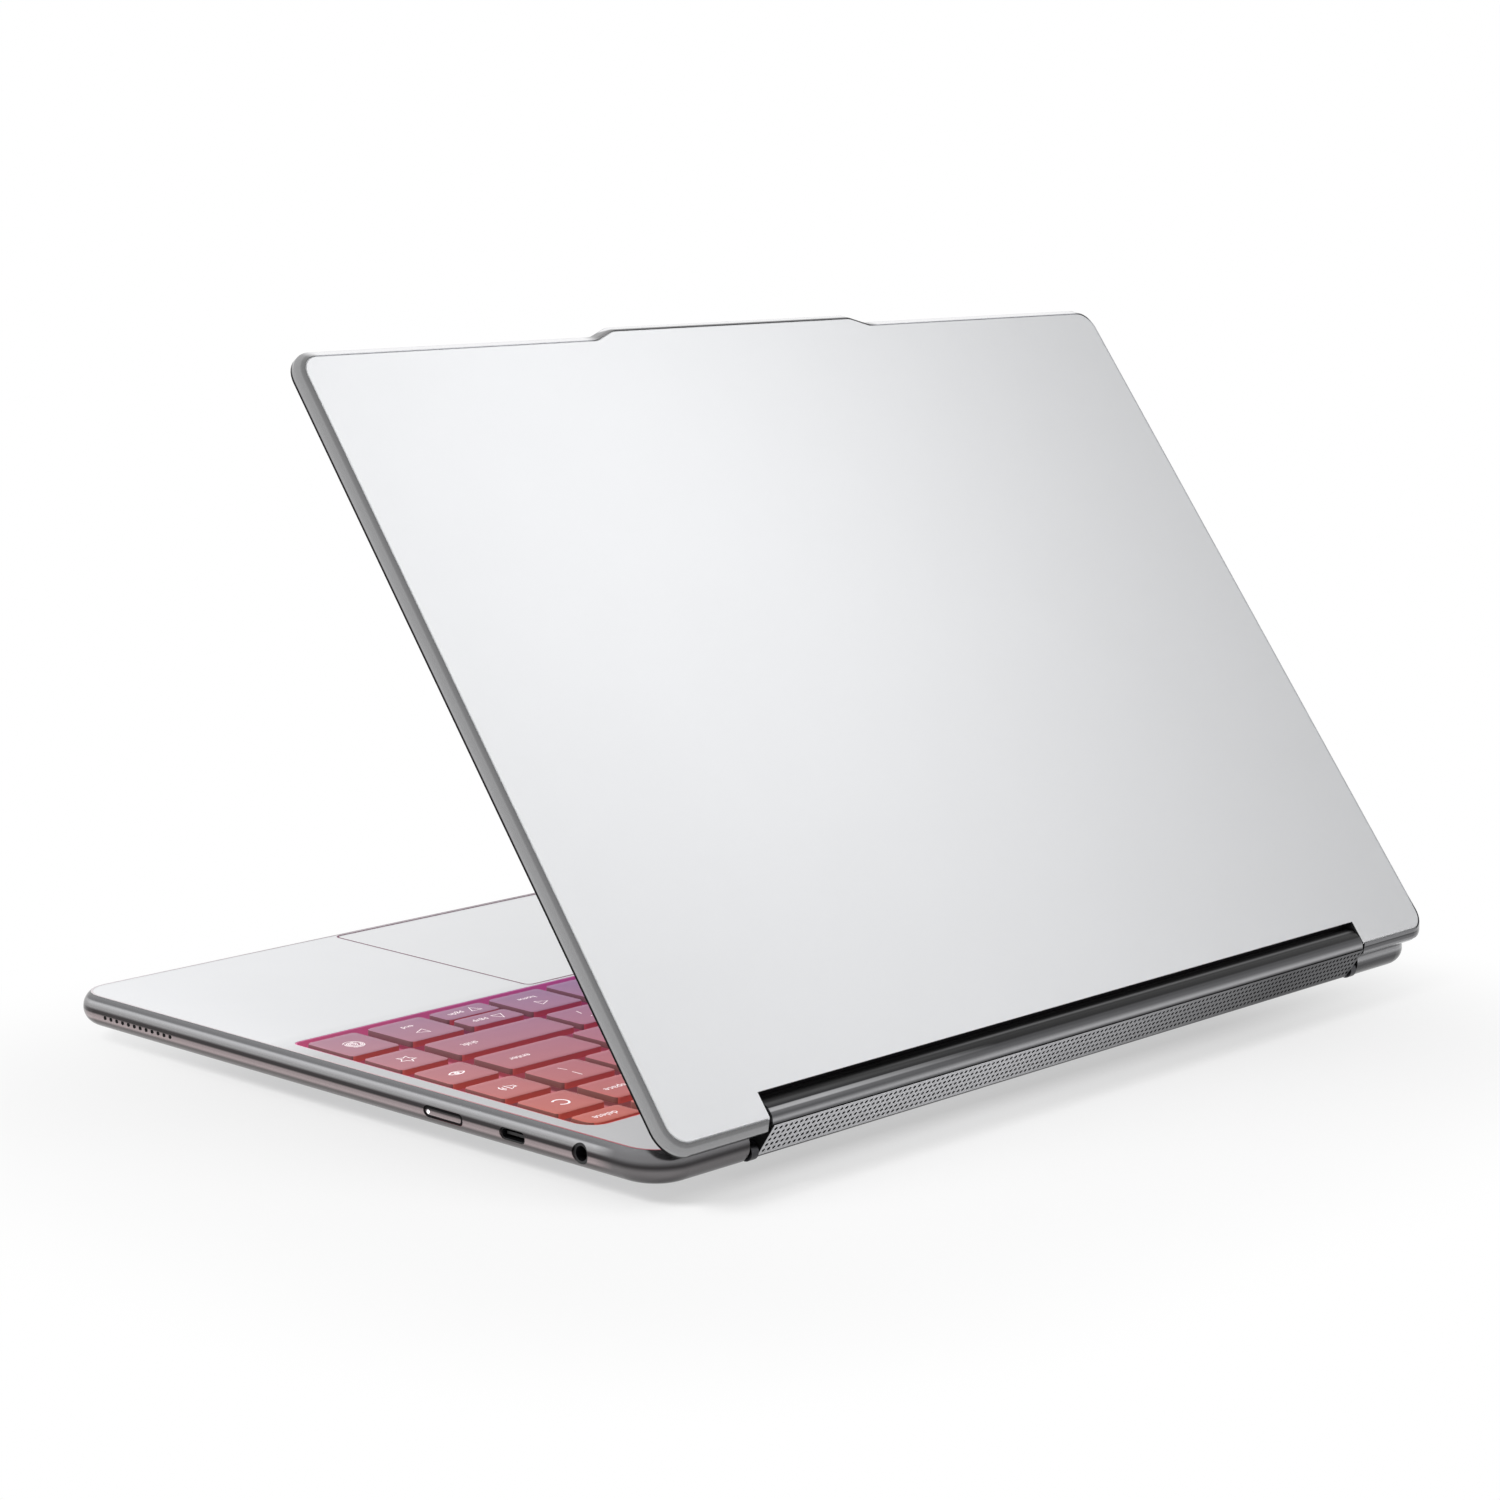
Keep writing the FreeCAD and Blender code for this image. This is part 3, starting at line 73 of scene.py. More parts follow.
socketKinds = {"vector": "NodeSocketVector", "value": "NodeSocketFloat", "colour": "NodeSocketColor",
               "count": "NodeSocketInt", "finish": "NodeSocketMaterial", "geometry": "NodeSocketGeometry"}


def newTree(name, kind, inputs, outputs):
    tree = bpy.data.node_groups.new(name, kind)
    for direction, sockets in (("INPUT", inputs), ("OUTPUT", outputs)):
        for label, socket in sockets.items():
            tree.interface.new_socket(name=label, in_out=direction, socket_type=socketKinds[socket])
    return tree, tree.nodes.new("NodeGroupInput").outputs, tree.nodes.new("NodeGroupOutput")


def setInputs(tree, node, values):
    # a value that is a socket is linked, any other is set
    for name, value in values.items():
        if isinstance(value, bpy.types.NodeSocket):
            tree.links.new(value, node.inputs[name])
        else:
            node.inputs[name].default_value = value


def addNode(tree, kind, values, **settings):
    node = tree.nodes.new(kind)
    for name, value in settings.items():
        setattr(node, name, value)
    setInputs(tree, node, values)
    return node


def mathNode(tree, operation, *values):
    return addNode(tree, "ShaderNodeMath", dict(enumerate(values)), operation=operation).outputs[0]


def vectorNode(tree, operation, *values):
    return addNode(tree, "ShaderNodeVectorMath", dict(enumerate(values)), operation=operation)


def product(tree, first, *others):
    for other in others:
        first = mathNode(tree, "MULTIPLY", first, other)
    return first


def mixColours(tree, factor, first, second):
    # each colour is a socket or an sRGB triple, and 6, 7 and 2 are the node's colour sockets
    tones = [fromSrgb(*tone) if isinstance(tone, tuple) else tone for tone in (first, second)]
    mix = addNode(tree, "ShaderNodeMix", {0: factor, 6: tones[0], 7: tones[1]}, data_type="RGBA")
    return mix.outputs[2]


def spanFactor(tree, value, low, high):
    span = addNode(tree, "ShaderNodeMapRange", {"Value": value, "From Min": low, "From Max": high})
    return span.outputs["Result"]


def axisParts(tree, vector):
    return addNode(tree, "ShaderNodeSeparateXYZ", {0: vector}).outputs


def bandRamp(tree, factor, stops):
    ramp = addNode(tree, "ShaderNodeValToRGB", {0: factor})
    ramp.color_ramp.interpolation = "EASE"
    points = ramp.color_ramp.elements
    while len(points) < len(stops):
        points.new(0.5)
    for point, (place, tone) in zip(points, stops):
        point.position = place
        point.color = fromSrgb(*tone)
    return ramp.outputs[0]


# shared shader groups

grainForm = dict(broadDetail=3, fineDetail=4, fineScale=14.0, middle=0.5, depth=0.05 * mm, coatRough=0.1)


def buildFineGrain():
    # colour, roughness and height that wander a little over the surface
    group, ins, outs = newTree(
        "fineGrain", "ShaderNodeTree",
        {"Vector": "vector", "Colour": "colour", "Scale": "value", "Spread": "value",
         "Roughness": "value", "Rough Spread": "value"},
        {"Colour": "colour", "Roughness": "value", "Height": "value"})
    fineScale = mathNode(group, "MULTIPLY", ins["Scale"], grainForm["fineScale"])
    noises = []
    for scale, detail in ((ins["Scale"], "broadDetail"), (fineScale, "fineDetail")):
        noises.append(addNode(group, "ShaderNodeTexNoise", {
            "Vector": ins["Vector"], "Scale": scale, "Detail": grainForm[detail]}).outputs[0])
    swing, grit = [mathNode(group, "SUBTRACT", noise, grainForm["middle"]) for noise in noises]
    tint = mathNode(group, "MULTIPLY_ADD", swing, ins["Spread"], 1.0)
    shade = addNode(group, "ShaderNodeVectorMath", {0: ins["Colour"], "Scale": tint}, operation="SCALE")
    rough = mathNode(group, "MULTIPLY_ADD", grit, ins["Rough Spread"], ins["Roughness"])
    setInputs(group, outs, {"Colour": shade.outputs[0], "Roughness": rough, "Height": noises[1]})
    return group


fadeStart = 0.35    # share of the keyboard's left half where its colours begin to change


def buildKeyboardFade():
    # four corner colours of the keyboard, blended over its width and depth
    group, ins, outs = newTree(
        "keyboardFade", "ShaderNodeTree",
        {"Vector": "vector", "Left Front": "colour", "Right Front": "colour", "Left Rear": "colour",
         "Right Rear": "colour"}, {"Colour": "colour"})
    low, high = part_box("keyboard_tray")
    x, y = axisParts(group, ins["Vector"])[:2]
    across = spanFactor(group, x, low.x * fadeStart, high.x)
    depth = spanFactor(group, y, low.y, high.y)
    front = mixColours(group, across, ins["Left Front"], ins["Right Front"])
    rear = mixColours(group, across, ins["Left Rear"], ins["Right Rear"])
    setInputs(group, outs, {"Colour": mixColours(group, depth, front, rear)})
    return group


def buildHingePlane():
    # distances measured in a turned link: up along it and out through it, from its axis
    group, ins, outs = newTree(
        "hingePlane", "ShaderNodeTree",
        {"Vector": "vector", "Centre": "vector", "Up Axis": "vector", "Out Axis": "vector"},
        {"Up": "value", "Out": "value"})
    offset = vectorNode(group, "SUBTRACT", ins["Vector"], ins["Centre"]).outputs[0]
    for name in ("Up", "Out"):
        dot = vectorNode(group, "DOT_PRODUCT", offset, ins[name + " Axis"])
        setInputs(group, outs, {name: dot.outputs["Value"]})
    return group


fineGrain = buildFineGrain()
keyboardFade = buildKeyboardFade()
hingePlane = buildHingePlane()


def useGroup(tree, group, values):
    return addNode(tree, "ShaderNodeGroup", values, node_tree=group).outputs


def lidPlane(tree, vector):
    return useGroup(tree, hingePlane, {
        "Vector": vector, "Centre": lidAxis, "Up Axis": lidUp, "Out Axis": lidNormal})


def barPlane(tree, vector):
    return useGroup(tree, hingePlane, {
        "Vector": vector, "Centre": baseAxis, "Up Axis": barUp, "Out Axis": barOut})


# materials: a look says how a surface is grained, a tone is an sRGB triple or a function that paints

def surface(**values):
    plain = dict(spread=0.2, roughSpread=0.2, bump=0.1, metallic=0.0, coat=0.0, specular=0.5)
    return {**plain, **values}


def makeMaterial(name, look, tone, glow=0.0):
    material = bpy.data.materials.new(name)
    material.use_nodes = True
    tree = material.node_tree
    shader = tree.nodes["Principled BSDF"]
    vector = tree.nodes.new("ShaderNodeTexCoord").outputs["Object"]
    colour = fromSrgb(*tone) if isinstance(tone, tuple) else tone(tree, vector)
    grain = useGroup(tree, fineGrain, {
        "Vector": vector, "Colour": colour, "Scale": look["scale"], "Spread": look["spread"],
        "Roughness": look["rough"], "Rough Spread": look["roughSpread"]})
    bump = addNode(tree, "ShaderNodeBump", {
        "Strength": look["bump"], "Distance": grainForm["depth"], "Height": grain["Height"]})
    setInputs(tree, shader, {
        "Base Color": grain["Colour"], "Roughness": grain["Roughness"], "Normal": bump.outputs[0],
        "Metallic": look["metallic"], "Coat Weight": look["coat"], "Coat Roughness": grainForm["coatRough"],
        "Specular IOR Level": look["specular"]})
    if glow:
        setInputs(tree, shader, {"Emission Color": colour, "Emission Strength": glow})
    return material


finishes = {
    "touchCoat": surface(tone=(235, 236, 238), scale=50, spread=0.03, rough=0.34, roughSpread=0.08,
                         bump=0.03),
    "bottomCoat": surface(tone=(176, 176, 179), scale=70, spread=0.05, rough=0.45, roughSpread=0.15,
                          metallic=0.6),
    # near-black cloth behind the grille holes: cloth, and the painted shade of the hollow behind
    "speakerClothPaintedShade": surface(tone=(8, 8, 9), scale=900, spread=0.6, rough=0.9, roughSpread=0.1, bump=0.4,
                            specular=0.05),
    "darkTrim": surface(tone=(26, 25, 27), scale=120, spread=0.25, rough=0.6, bump=0.05, specular=0.12),
    "darkMoulding": surface(tone=(38, 38, 41), scale=300, spread=0.3, rough=0.55, bump=0.2),
    "footRubber": surface(tone=(40, 40, 42), scale=500, spread=0.4, rough=0.8, bump=0.5),
    "hingeSteel": surface(tone=(70, 70, 73), scale=350, rough=0.35, metallic=1.0),
    "copperPipe": surface(tone=(196, 122, 84), scale=300, rough=0.3, metallic=1.0),
    "circuitBoard": surface(tone=(22, 66, 46), scale=240, spread=0.5, rough=0.5, roughSpread=0.3, bump=0.3),
    "cellWrap": surface(tone=(48, 49, 54), scale=150, spread=0.3, rough=0.5, bump=0.2),
    "socketBlack": surface(tone=(20, 20, 22), scale=300, spread=0.4, rough=0.4),
    "panelBack": surface(tone=(60, 61, 66), scale=200, rough=0.5),
    "lensGlass": surface(tone=(16, 18, 30), scale=400, spread=0.5, rough=0.08, roughSpread=0.05, bump=0.0,
                         coat=0.8),
    "screwSteel": surface(tone=(120, 120, 124), scale=600, rough=0.35, bump=0.2, metallic=1.0),
    # near-black for holes, sockets and gaps: painted shade of the recesses
    "recessPaintedShade": surface(tone=(12, 12, 13), scale=500, spread=0.4, rough=0.7, specular=0.1),
}

rimLook = surface(scale=500, spread=0.04, rough=0.2, roughSpread=0.06, bump=0.006, metallic=0.85)
# painted reflection bands on the polished rim, by height; the front and the far end get darker painted reflections
baseRim = dict(
    low=4.0 * mm, high=12.3 * mm, rearFade=(85 * mm, 91 * mm), frontFade=(-99 * mm, -105 * mm),
    frontDarkReflection=(84, 82, 83), farFade=(-100 * mm, -120 * mm),
    sideReflectionBands=(
        (0.0, (80, 74, 74)), (0.26, (92, 86, 86)), (0.36, (170, 156, 157)), (0.47, (155, 143, 144)),
        (0.54, (56, 53, 54)), (0.61, (60, 56, 57)), (0.70, (148, 147, 148)), (0.83, (182, 182, 184)),
        (0.89, (114, 114, 116)), (1.0, (126, 126, 128))),
    rearReflectionBands=(
        (0.0, (66, 64, 65)), (0.4, (116, 113, 114)), (0.56, (54, 52, 53)), (0.75, (116, 115, 117)),
        (1.0, (126, 126, 128))),
    farReflectionBands=(
        (0.0, (40, 40, 42)), (0.40, (52, 52, 54)), (0.50, (84, 84, 86)), (0.61, (148, 148, 150)),
        (0.68, (140, 140, 142)), (0.76, (88, 88, 90)), (1.0, (84, 84, 86))))


def baseRimReflectionTone(tree, vector):
    # painted reflection bands run along the nose of the rim, with others at its rear corners, darker painted ones
    # at its far end, and a darker painted reflection at the front
    x, y, z = axisParts(tree, vector)
    height = spanFactor(tree, z, baseRim["low"], baseRim["high"])
    kinds = ("sideReflectionBands", "rearReflectionBands", "farReflectionBands")
    sides, near, far = [bandRamp(tree, height, baseRim[kind]) for kind in kinds]
    corners = mixColours(tree, spanFactor(tree, x, *baseRim["farFade"]), near, far)
    bands = mixColours(tree, spanFactor(tree, y, *baseRim["rearFade"]), sides, corners)
    return mixColours(tree, spanFactor(tree, y, *baseRim["frontFade"]), bands, baseRim["frontDarkReflection"])


# painted reflection and shade bands across the lid's edge, by depth through the lid, with darker ones at the far
# lower corner
lidRim = dict(
    low=-1.5 * mm, high=1.9 * mm, farFade=(-100 * mm, -120 * mm), farTop=(9 * mm, 5 * mm),
    bands=(
        (0.0, (6, 6, 7)), (0.15, (16, 16, 17)), (0.22, (160, 160, 161)), (0.70, (148, 148, 149)),
        (0.84, (122, 122, 123)), (1.0, (115, 115, 116))),
    farReflectionBands=(
        (0.0, (84, 84, 86)), (0.10, (128, 128, 130)), (0.48, (136, 136, 138)), (0.60, (90, 90, 92)),
        (0.72, (82, 82, 84)), (0.76, (46, 46, 48)), (0.80, (50, 50, 52)), (0.835, (116, 116, 118)),
        (1.0, (114, 114, 116))))
# the white coat wraps the free edge; the far side's edge gets the same white as a painted highlight
lidCrest = dict(
    tone=(236, 236, 238), rise=(207.2 * mm, 208.2 * mm), bumpRise=(212.5 * mm, 213.0 * mm),
    bumpFade=(54 * mm, 58 * mm), cornerFade=(153 * mm, 149.5 * mm),
    farEdgeHighlight=(-154.5 * mm, -155.5 * mm), farOut=(0.7 * mm, 1.0 * mm), farUp=(5 * mm, 9 * mm))


def lidRimReflectionTone(tree, vector):
    # painted reflection and shade bands across the lid's edge, darker painted ones at its far lower corner, the
    # white coat along its free edge, and a painted white highlight along its far side
    plane = lidPlane(tree, vector)
    up, out = plane["Up"], plane["Out"]
    x = axisParts(tree, vector)[0]
    height = spanFactor(tree, out, lidRim["low"], lidRim["high"])
    near, far = [bandRamp(tree, height, lidRim[key]) for key in ("bands", "farReflectionBands")]
    corner = product(tree, spanFactor(tree, x, *lidRim["farFade"]), spanFactor(tree, up, *lidRim["farTop"]))
    side = mathNode(tree, "ABSOLUTE", x)
    crest = product(tree, spanFactor(tree, side, *lidCrest["bumpFade"]),
                    spanFactor(tree, side, *lidCrest["cornerFade"]),
                    spanFactor(tree, up, *lidCrest["rise"]))
    top = mathNode(tree, "MAXIMUM", crest, spanFactor(tree, up, *lidCrest["bumpRise"]))
    # white on the far side only: a painted highlight
    edge = product(tree, spanFactor(tree, x, *lidCrest["farEdgeHighlight"]),
                   spanFactor(tree, out, *lidCrest["farOut"]), spanFactor(tree, up, *lidCrest["farUp"]))
    outer = mathNode(tree, "GREATER_THAN", out, 0.0)
    mask = mathNode(tree, "MAXIMUM", product(tree, top, outer), edge)
    return mixColours(tree, mask, mixColours(tree, corner, near, far), lidCrest["tone"])


# the strips beside the keyboard, under the lid, take a darker painted shade
deckLook = surface(scale=60, spread=0.03, rough=0.42, roughSpread=0.10, bump=0.05, open=(238, 239, 241),
                   beside=(202, 202, 204), fade=(-32 * mm, -12 * mm))


def deckToneLidShade(tree, vector):
    # white, with a darker painted shade on the strips beside the keyboard, as they lie under the lid
    along = spanFactor(tree, axisParts(tree, vector)[1], *deckLook["fade"])
    return mixColours(tree, along, deckLook["open"], deckLook["beside"])


lidLook = surface(scale=40, spread=0.02, rough=0.30, roughSpread=0.06, bump=0.03, coatTone=(238, 239, 241),
                  notchTone=(40, 40, 42), notchHalf=124.1 * mm, notchTop=6.38 * mm)


def lidTone(tree, vector):
    # white, with dark walls in the hinge notch
    side = mathNode(tree, "ABSOLUTE", axisParts(tree, vector)[0])
    within = mathNode(tree, "LESS_THAN", side, lidLook["notchHalf"])
    below = mathNode(tree, "LESS_THAN", lidPlane(tree, vector)["Up"], lidLook["notchTop"])
    return mixColours(tree, product(tree, within, below), lidLook["coatTone"], lidLook["notchTone"])


barLook = surface(scale=260, spread=0.08, rough=0.3, roughSpread=0.12, bump=0.03, metallic=0.85)
# painted reflection bands over the bar's crown, and others at its right end
barForm = dict(
    low=6.0 * mm, high=13.1 * mm, lean=-0.35, endFade=(40 * mm, 105 * mm),
    bands=(
        (0.0, (62, 62, 64)), (0.34, (80, 80, 82)), (0.45, (160, 160, 162)), (0.62, (90, 90, 92)),
        (0.74, (70, 70, 72)), (0.80, (22, 22, 23)), (0.905, (24, 24, 25)), (0.933, (96, 96, 97)),
        (0.965, (8, 8, 9)), (1.0, (6, 6, 7))),
    endReflectionBands=(
        (0.0, (62, 62, 64)), (0.36, (90, 90, 92)), (0.46, (156, 156, 158)), (0.60, (86, 86, 88)),
        (0.70, (104, 104, 106)), (0.745, (172, 172, 174)), (0.80, (164, 164, 166)), (0.83, (36, 36, 38)),
        (0.895, (62, 62, 63)), (0.93, (22, 22, 23)), (1.0, (10, 10, 11))))


def barReflectionTone(tree, vector):
    # painted reflections: the crown of the bar turns from grey to black towards the lid, with a painted light band
    # at its right end
    plane = barPlane(tree, vector)
    crown = mathNode(tree, "MULTIPLY_ADD", plane["Out"], barForm["lean"], plane["Up"])
    height = spanFactor(tree, crown, barForm["low"], barForm["high"])
    middle, end = [bandRamp(tree, height, barForm[key]) for key in ("bands", "endReflectionBands")]
    return mixColours(tree, spanFactor(tree, axisParts(tree, vector)[0], *barForm["endFade"]), middle, end)


# the sheet's two tones are a painted reflection, light at one end and dark at the other
sheetLook = surface(scale=400, spread=0.10, rough=0.38, bump=0.08, metallic=0.7, near=(201, 201, 204),
                    far=(79, 79, 82), fade=(-85 * mm, 37 * mm))


def sheetReflectionTone(tree, vector):
    # perforated sheet with a painted reflection, darker towards one end
    along = spanFactor(tree, axisParts(tree, vector)[0], *sheetLook["fade"])
    return mixColours(tree, along, sheetLook["far"], sheetLook["near"])


screenLook = surface(scale=90, rough=0.06, roughSpread=0.03, bump=0.0, coat=0.6, bezel=(8, 8, 9),
                     picture=(20, 21, 26), sideBezel=3.2 * mm, lowBezel=15.5 * mm, highBezel=207.0 * mm)


def screenTone(tree, vector):
    # black border round a slightly lighter picture area, switched off
    up = lidPlane(tree, vector)["Up"]
    side = mathNode(tree, "ABSOLUTE", axisParts(tree, vector)[0])
    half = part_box("display_glass")[1].x - screenLook["sideBezel"]
    mask = product(tree, mathNode(tree, "LESS_THAN", side, half),
                   mathNode(tree, "GREATER_THAN", up, screenLook["lowBezel"]),
                   mathNode(tree, "LESS_THAN", up, screenLook["highBezel"]))
    return mixColours(tree, mask, screenLook["bezel"], screenLook["picture"])


# front and rear give the colours at the left and the right end
keyLook = surface(scale=300, spread=0.06, rough=0.55, roughSpread=0.12, bump=0.12)
keyFades = {
    "keyTop": dict(
        front=((105, 80, 160), (180, 136, 154)), rear=((176, 58, 121), (216, 114, 97)), glow=0.0),
    # front and rear walls of the caps: a painted glow that lights walls lying in shade between keys
    "keyWallPaintedGlow": dict(
        front=((150, 44, 132), (180, 90, 84)), rear=((176, 36, 96), (190, 92, 78)), glow=0.28),
    # left and right walls of the caps: a darker painted shade
    "keyWallPaintedShade": dict(
        front=((96, 62, 96), (124, 88, 92)), rear=((116, 62, 74), (132, 84, 74)), glow=0.06),
    # floor and walls of the key well: a painted pink glow in the shaded gaps between keys
    "wellPaintedGlow": dict(
        front=((160, 56, 156), (190, 108, 140)), rear=((178, 44, 92), (200, 128, 122)), glow=0.26),
    "wellWallPaintedGlow": dict(
        front=((168, 84, 176), (204, 108, 150)), rear=((190, 60, 120), (206, 84, 88)), glow=0.35),
    # line along the deck's edge: a painted reflection of the keys' colours
    "edgeShadeAndReflection": dict(
        front=((84, 44, 66), (224, 217, 220)), rear=((166, 84, 118), (186, 100, 112)), glow=0.0),
    # line round the touchpad: painted shade in its gap, tinted by a painted reflection
    "touchGapShadeAndReflection": dict(
        front=((112, 66, 90), (124, 74, 98)), rear=((112, 66, 90), (124, 74, 98)), glow=0.0),
}


def keyTone(fade):
    def paintKeys(tree, vector):
        corners = {"Vector": vector}
        for row in ("front", "rear"):
            for end, tone in zip(("Left", "Right"), fade[row]):
                corners[end + " " + row.title()] = fromSrgb(*tone)
        return useGroup(tree, keyboardFade, corners)["Colour"]
    return paintKeys


lampLook = surface(scale=800, spread=0.1, rough=0.3, roughSpread=0.1, bump=0.0)
# the power lamp is a real light; the legend ink's white is print and its glow is a painted glow
lampTones = {"powerLamp": dict(tone=(250, 250, 252), glow=1.0),
             "legendInkAndGlow": dict(tone=(250, 240, 242), glow=0.35)}

paint = {name: makeMaterial(name, look, look["tone"]) for name, look in finishes.items()}
for name, look, tone in (
        ("baseRim", rimLook, baseRimReflectionTone), ("lidRim", rimLook, lidRimReflectionTone), ("lidCoat", lidLook, lidTone),
        ("deckCoat", deckLook, deckToneLidShade), ("barMetal", barLook, barReflectionTone),
        ("sheetSteel", sheetLook, sheetReflectionTone), ("screenGlass", screenLook, screenTone)):
    paint[name] = makeMaterial(name, look, tone)
for name, lamp in lampTones.items():
    paint[name] = makeMaterial(name, lampLook, lamp["tone"], lamp["glow"])
for name, fade in keyFades.items():
    paint[name] = makeMaterial(name, keyLook, keyTone(fade), fade["glow"])

# the finish of each CAD node, dark moulding where none is named
finishNodes = {
    "lidCoat": "lid_cover", "lidRim": "lid_frame", "deckCoat": "deck_plate", "touchCoat": "touchpad",
    "baseRim": "base_frame power_button", "barMetal": "bar_shell bar_end_cap_left bar_end_cap_right",
    "bottomCoat": "bottom_cover", "darkTrim": "notch_trim", "screenGlass": "display_glass",
    "footRubber": "screen_gasket front_foot rear_foot", "panelBack": "display_panel",
    "hingeSteel": "base_hinge_arms lid_hinge_pins touchpad_bracket heat_sink_left heat_sink_right",
    "circuitBoard": "mainboard storage_card wireless_card microphone_strip", "copperPipe": "heat_pipe",
    "cellWrap": "processor battery",
    "socketBlack": "usb_c_socket_right usb_c_socket_left audio_jack", "wellPaintedGlow": "keyboard_tray",
}
cadFinish = {node: finish for finish, nodes in finishNodes.items() for node in nodes.split()}
for node, cadObject in cadNodes.items():
    cadObject.data.materials.clear()
    cadObject.data.materials.append(paint[cadFinish.get(node, "darkMoulding")])
print("materials:", len(paint))


# mesh helpers: a shape holds points, faces and the number of each face's finish

def newShape():
    return dict(points=[], faces=[], finish=[])


def polar(centre, radius, degrees):
    angle = math.radians(degrees)
    return centre[0] + radius * math.cos(angle), centre[1] + radius * math.sin(angle)


def arcPath(centre, radius, start, end, steps):
    return [polar(centre, radius, start + (end - start) * i / steps) for i in range(steps + 1)]


def roundedOutline(x, y, radii, steps=6):
    # counter-clockwise, with a radius for each corner: front left, front right, rear right, rear left
    corners = ((x[0], y[0], 1, 1, 180), (x[1], y[0], -1, 1, 270),
               (x[1], y[1], -1, -1, 0), (x[0], y[1], 1, -1, 90))
    outline = []
    for (cornerX, cornerY, signX, signY, start), radius in zip(corners, radii):
        centre = (cornerX + radius * signX, cornerY + radius * signY)
        outline += arcPath(centre, radius, start, start + 90, steps)
    return outline


def boxRing(x, y, z):
    return [(-x, -y, z), (x, -y, z), (x, y, z), (-x, y, z)]


def loftRings(shape, rings, wallFinishes, startFinish=None, endFinish=None):
    # rings of equal count, each counter-clockwise seen from its end
    count = len(rings[0])
    first = len(shape["points"])
    for ring in rings:
        shape["points"].extend(ring)
    for level, finish in enumerate(wallFinishes):
        low, high = first + level * count, first + (level + 1) * count
        for i in range(count):
            j = (i + 1) % count
            shape["faces"].append((low + i, low + j, high + j, high + i))
            shape["finish"].append(finish)
    if startFinish is not None:
        shape["faces"].append(tuple(reversed(range(first, first + count))))
        shape["finish"].append(startFinish)
    if endFinish is not None:
        last = first + (len(rings) - 1) * count
        shape["faces"].append(tuple(range(last, last + count)))
        shape["finish"].append(endFinish)


def ribbon(shape, path, width, height, closed=False):
    # flat stroke of steady width along a path, lying at one height
    count = len(path)
    first = len(shape["points"])
    for i, (x, y) in enumerate(path):
        before = path[i - 1] if closed or i else path[i]
        after = path[(i + 1) % count] if closed or i < count - 1 else path[i]
        along = Vector((after[0] - before[0], after[1] - before[1]))
        along.normalize()
        side = Vector((-along.y, along.x)) * width / 2
        shape["points"] += [(x + side.x, y + side.y, height), (x - side.x, y - side.y, height)]
    for i in range(count if closed else count - 1):
        a, b = first + 2 * i, first + 2 * ((i + 1) % count)
        shape["faces"].append((a + 1, b + 1, b, a))
        shape["finish"].append(0)


def newObject(name, data):
    item = bpy.data.objects.new(name, data)
    bpy.context.scene.collection.objects.link(item)
    return item


def plainMesh(owner):
    bpy.context.view_layer.update()
    return bpy.data.meshes.new_from_object(owner.evaluated_get(bpy.context.evaluated_depsgraph_get()))


def placePiece(name, mesh, body):
    piece = newObject(name, mesh)
    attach(piece, body)
    return piece


def makePiece(name, shape, body, materials, matrix=None, smoothAngle=40):
    mesh = bpy.data.meshes.new(name)
    mesh.from_pydata([tuple(point) for point in shape["points"]], [], shape["faces"])
    for material in materials:
        mesh.materials.append(material)
    for polygon, finish in zip(mesh.polygons, shape["finish"]):
        polygon.material_index = finish
        polygon.use_smooth = True
    mesh.set_sharp_from_angle(angle=math.radians(smoothAngle))
    if matrix is not None:
        mesh.transform(matrix)
    mesh.update()
    return placePiece(name, mesh, body)


# keyboard: well pan, caps and legends

panForm = dict(wall=0.45 * mm, gap=0.08 * mm, tray=0.5 * mm, top=12.2 * mm, floor=9.5 * mm, under=9.42 * mm,
               front=2.5 * mm, rear=6.0 * mm)


def makeWellPan():
    low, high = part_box("keyboard_tray")
    shape = newShape()
    rings = []
    for side, level in (("gap", "under"), ("gap", "top"), ("wall", "top"), ("wall", "floor")):
        inset = panForm[side]
        edge = panForm["tray"] + inset
        front, rear = panForm["front"] - inset, panForm["rear"] - inset
        outline = roundedOutline((low.x + edge, high.x - edge), (low.y + edge, high.y - edge),
                                 (front, front, rear, rear))
        rings.append([(x, y, panForm[level]) for x, y in outline])
    loftRings(shape, rings, (1, 1, 1), startFinish=0, endFinish=0)
    # the well pan takes the painted glow on its floor and walls
    pan = makePiece("wellPan", shape, "base", [paint["wellPaintedGlow"], paint["wellWallPaintedGlow"]])
    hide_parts("keyboard_tray")


keyForm = dict(corner=1.5 * mm, leastCorner=0.2 * mm, deleteCorner=3.6 * mm, edge=0.22 * mm, shoulder=0.3,
               dish=0.07 * mm, dishInset=2.0 * mm, dishShare=0.28, capDepth=1.55 * mm, capLift=0.35 * mm,
               legendLift=0.02 * mm, leastGap=0.5 * mm)


def capSpans(node):
    # limits of each cap in one node, read from the flat tops of its solids
    mesh = cadNodes[node].data
    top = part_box(node)[1].z
    spans = []
    for polygon in mesh.polygons:
        corners = [mesh.vertices[i].co for i in polygon.vertices]
        if min(corner.z for corner in corners) > top - tiny:
            spans.append((min(c.x for c in corners), max(c.x for c in corners)))
    merged = []
    for start, end in sorted(spans):
        if merged and start < merged[-1][1] + keyForm["leastGap"]:
            merged[-1][1] = max(end, merged[-1][1])
        else:
            merged.append([start, end])
    return merged


